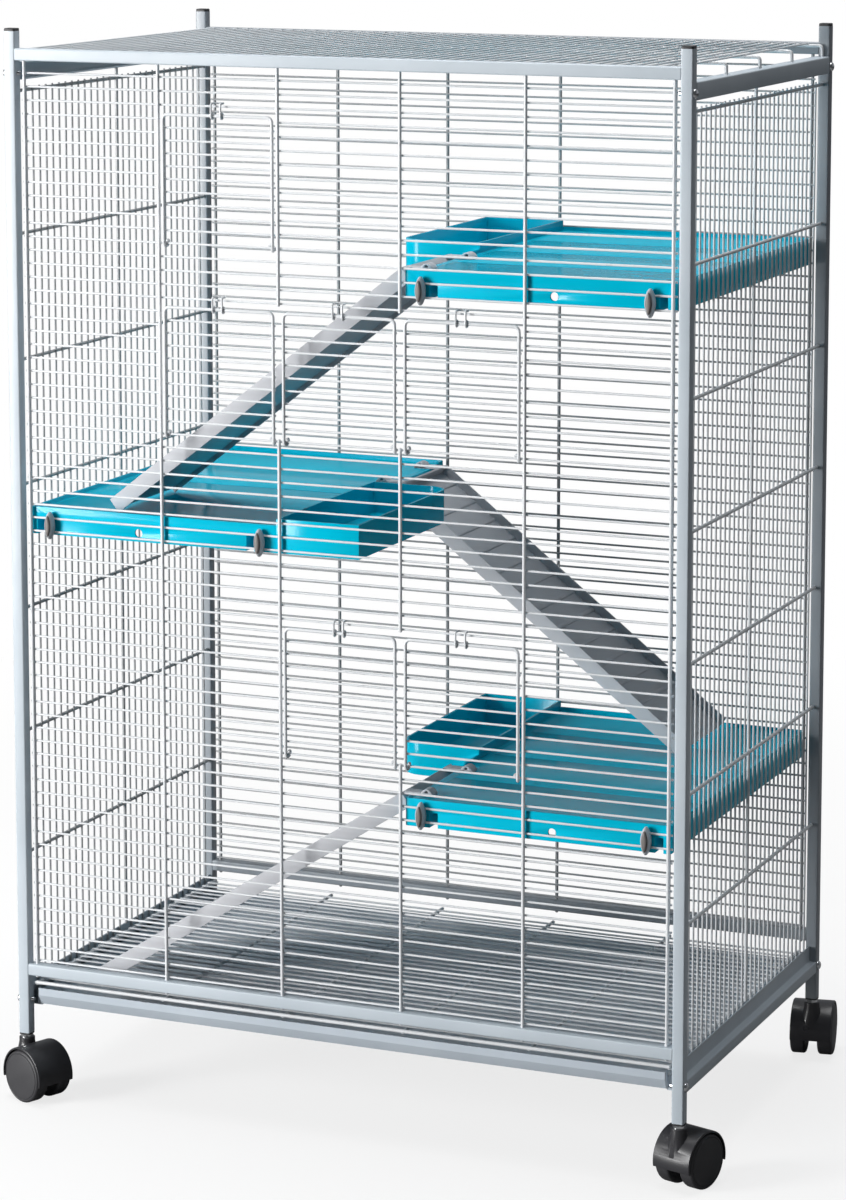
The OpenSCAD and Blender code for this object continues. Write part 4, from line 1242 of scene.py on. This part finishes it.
def backdrop_material():
    """White floor, softly shaded near the cage; it throws little light back at the cage."""
    made = bpy.data.materials.new("floor_white")
    tree = empty_tree(made)

    def diffuse(tone):
        node = tree.nodes.new("ShaderNodeBsdfDiffuse")
        node.inputs["Color"].default_value = (tone, tone, tone, 1)
        return node.outputs["BSDF"]

    glow = tree.nodes.new("ShaderNodeEmission")
    glow.inputs["Color"].default_value = (1, 1, 1, 1)
    place = tree.nodes.new("ShaderNodeTexCoord")
    length = tree.nodes.new("ShaderNodeVectorMath")
    length.operation = "LENGTH"
    fade = tree.nodes.new("ShaderNodeMapRange")
    fade.interpolation_type = "SMOOTHSTEP"
    fade.inputs["From Min"].default_value = FADE_FROM
    fade.inputs["From Max"].default_value = FADE_TO
    tree.links.new(place.outputs["Object"], length.inputs[0])
    tree.links.new(length.outputs["Value"], fade.inputs["Value"])
    shaded = mix(tree, FLOOR_GLOW, diffuse(FLOOR_SHADED), glow.outputs["Emission"])
    seen = mix(tree, fade.outputs["Result"], shaded, glow.outputs["Emission"])
    path = tree.nodes.new("ShaderNodeLightPath")
    out = tree.nodes.new("ShaderNodeOutputMaterial")
    both = mix(tree, path.outputs["Is Camera Ray"], diffuse(FLOOR_BOUNCE), seen)
    tree.links.new(both, out.inputs["Surface"])
    return made


def make_floor():
    bpy.ops.mesh.primitive_circle_add(vertices=96, radius=40, fill_type="NGON")
    floor = bpy.context.active_object
    floor.name = "floor"
    floor.data.materials.append(backdrop_material())


def area_light(name, place, target, size, power, colour=(1, 1, 1)):
    data = bpy.data.lights.new(name, "AREA")
    data.shape = "RECTANGLE"
    data.size, data.size_y = size
    data.energy = power
    data.color = colour
    lamp = place_object(name, data)
    lamp.location = place
    way = Vector(target) - Vector(place)
    lamp.rotation_euler = way.to_track_quat("-Z", "Y").to_euler()


def make_lights():
    """Tall key light from the front left, a soft one above, and a dim world glow that brightens
    behind the cage.
    """
    middle = (0, 0, 0.6)
    area_light("key", (-2.8, -3.0, 1.05), middle, (1.2, 2.2), 232, (1.0, 0.995, 0.99))
    area_light("top", (-0.2, 0.2, 3.6), (0, 0, 0), (2.4, 2.4), 100)
    world = bpy.data.worlds.new("studio")
    bpy.context.scene.world = world
    tree = empty_tree(world)
    out = tree.nodes.new("ShaderNodeOutputWorld")
    seen = tree.nodes.new("ShaderNodeBackground")
    seen.inputs["Color"].default_value = (1, 1, 1, 1)
    glow = tree.nodes.new("ShaderNodeBackground")
    way = tree.nodes.new("ShaderNodeTexCoord")
    split = tree.nodes.new("ShaderNodeSeparateXYZ")
    tree.links.new(way.outputs["Generated"], split.inputs["Vector"])
    dim, lit = (0.07, 0.075, 0.08), (0.30, 0.31, 0.33)
    tone = ramp(tree, split.outputs["Y"], (0.0, dim), (0.9, lit))
    tree.links.new(tone, glow.inputs["Color"])
    path = tree.nodes.new("ShaderNodeLightPath")
    sky = [node.outputs["Background"] for node in (glow, seen)]
    tree.links.new(mix(tree, path.outputs["Is Camera Ray"], *sky), out.inputs["Surface"])


# Camera fitted to the photograph: picture size, focal length and image centre in pixels,
# place in metres, angles in radians.
IMAGE_W, IMAGE_H = 846, 1200
LENS_PX = 3769.0
CENTRE_PX = (486.3, 350.0)
CAMERA_AT = (1.5869, -3.6815, 1.3729)
CAMERA_YAW, CAMERA_PITCH, CAMERA_ROLL = -0.39061, -0.13992, 0.00188
SENSOR = 36.0


def make_camera():
    data = bpy.data.cameras.new("camera")
    camera = place_object("camera", data)
    data.sensor_fit = "AUTO"
    data.sensor_width = SENSOR
    data.lens = LENS_PX / IMAGE_H * SENSOR
    data.shift_x = (IMAGE_W / 2 - CENTRE_PX[0]) / IMAGE_H
    data.shift_y = (CENTRE_PX[1] - IMAGE_H / 2) / IMAGE_H
    camera.location = CAMERA_AT
    ahead = Vector((
        math.sin(CAMERA_YAW) * math.cos(CAMERA_PITCH),
        math.cos(CAMERA_YAW) * math.cos(CAMERA_PITCH),
        math.sin(CAMERA_PITCH)))
    right = Vector((math.cos(CAMERA_YAW), -math.sin(CAMERA_YAW), 0))
    up = right.cross(ahead)
    c, s = math.cos(CAMERA_ROLL), math.sin(CAMERA_ROLL)
    right, up = c * right + s * up, -s * right + c * up
    camera.rotation_mode = "QUATERNION"
    camera.rotation_quaternion = Matrix((right, up, -ahead)).transposed().to_quaternion()
    bpy.context.scene.camera = camera
    bpy.context.scene.view_settings.view_transform = "Standard"


make_camera()
make_floor()
make_lights()
make_posts()
make_cross_rails()
make_side_rails()
make_caps()
make_bolts()
make_level_panel("front", -1, WIRE, list(DOORS.values()))
# The back panel takes the darker copy of the wire paint: painted shade.
make_level_panel("back", 1, WIRE_PAINTED_SHADE, [])
make_side_panels()
make_top_panel()
make_grate()
make_tray()
make_doors()
make_latches()
make_shelves()
make_knobs()
make_ramps()
make_casters()
dress_nodes()
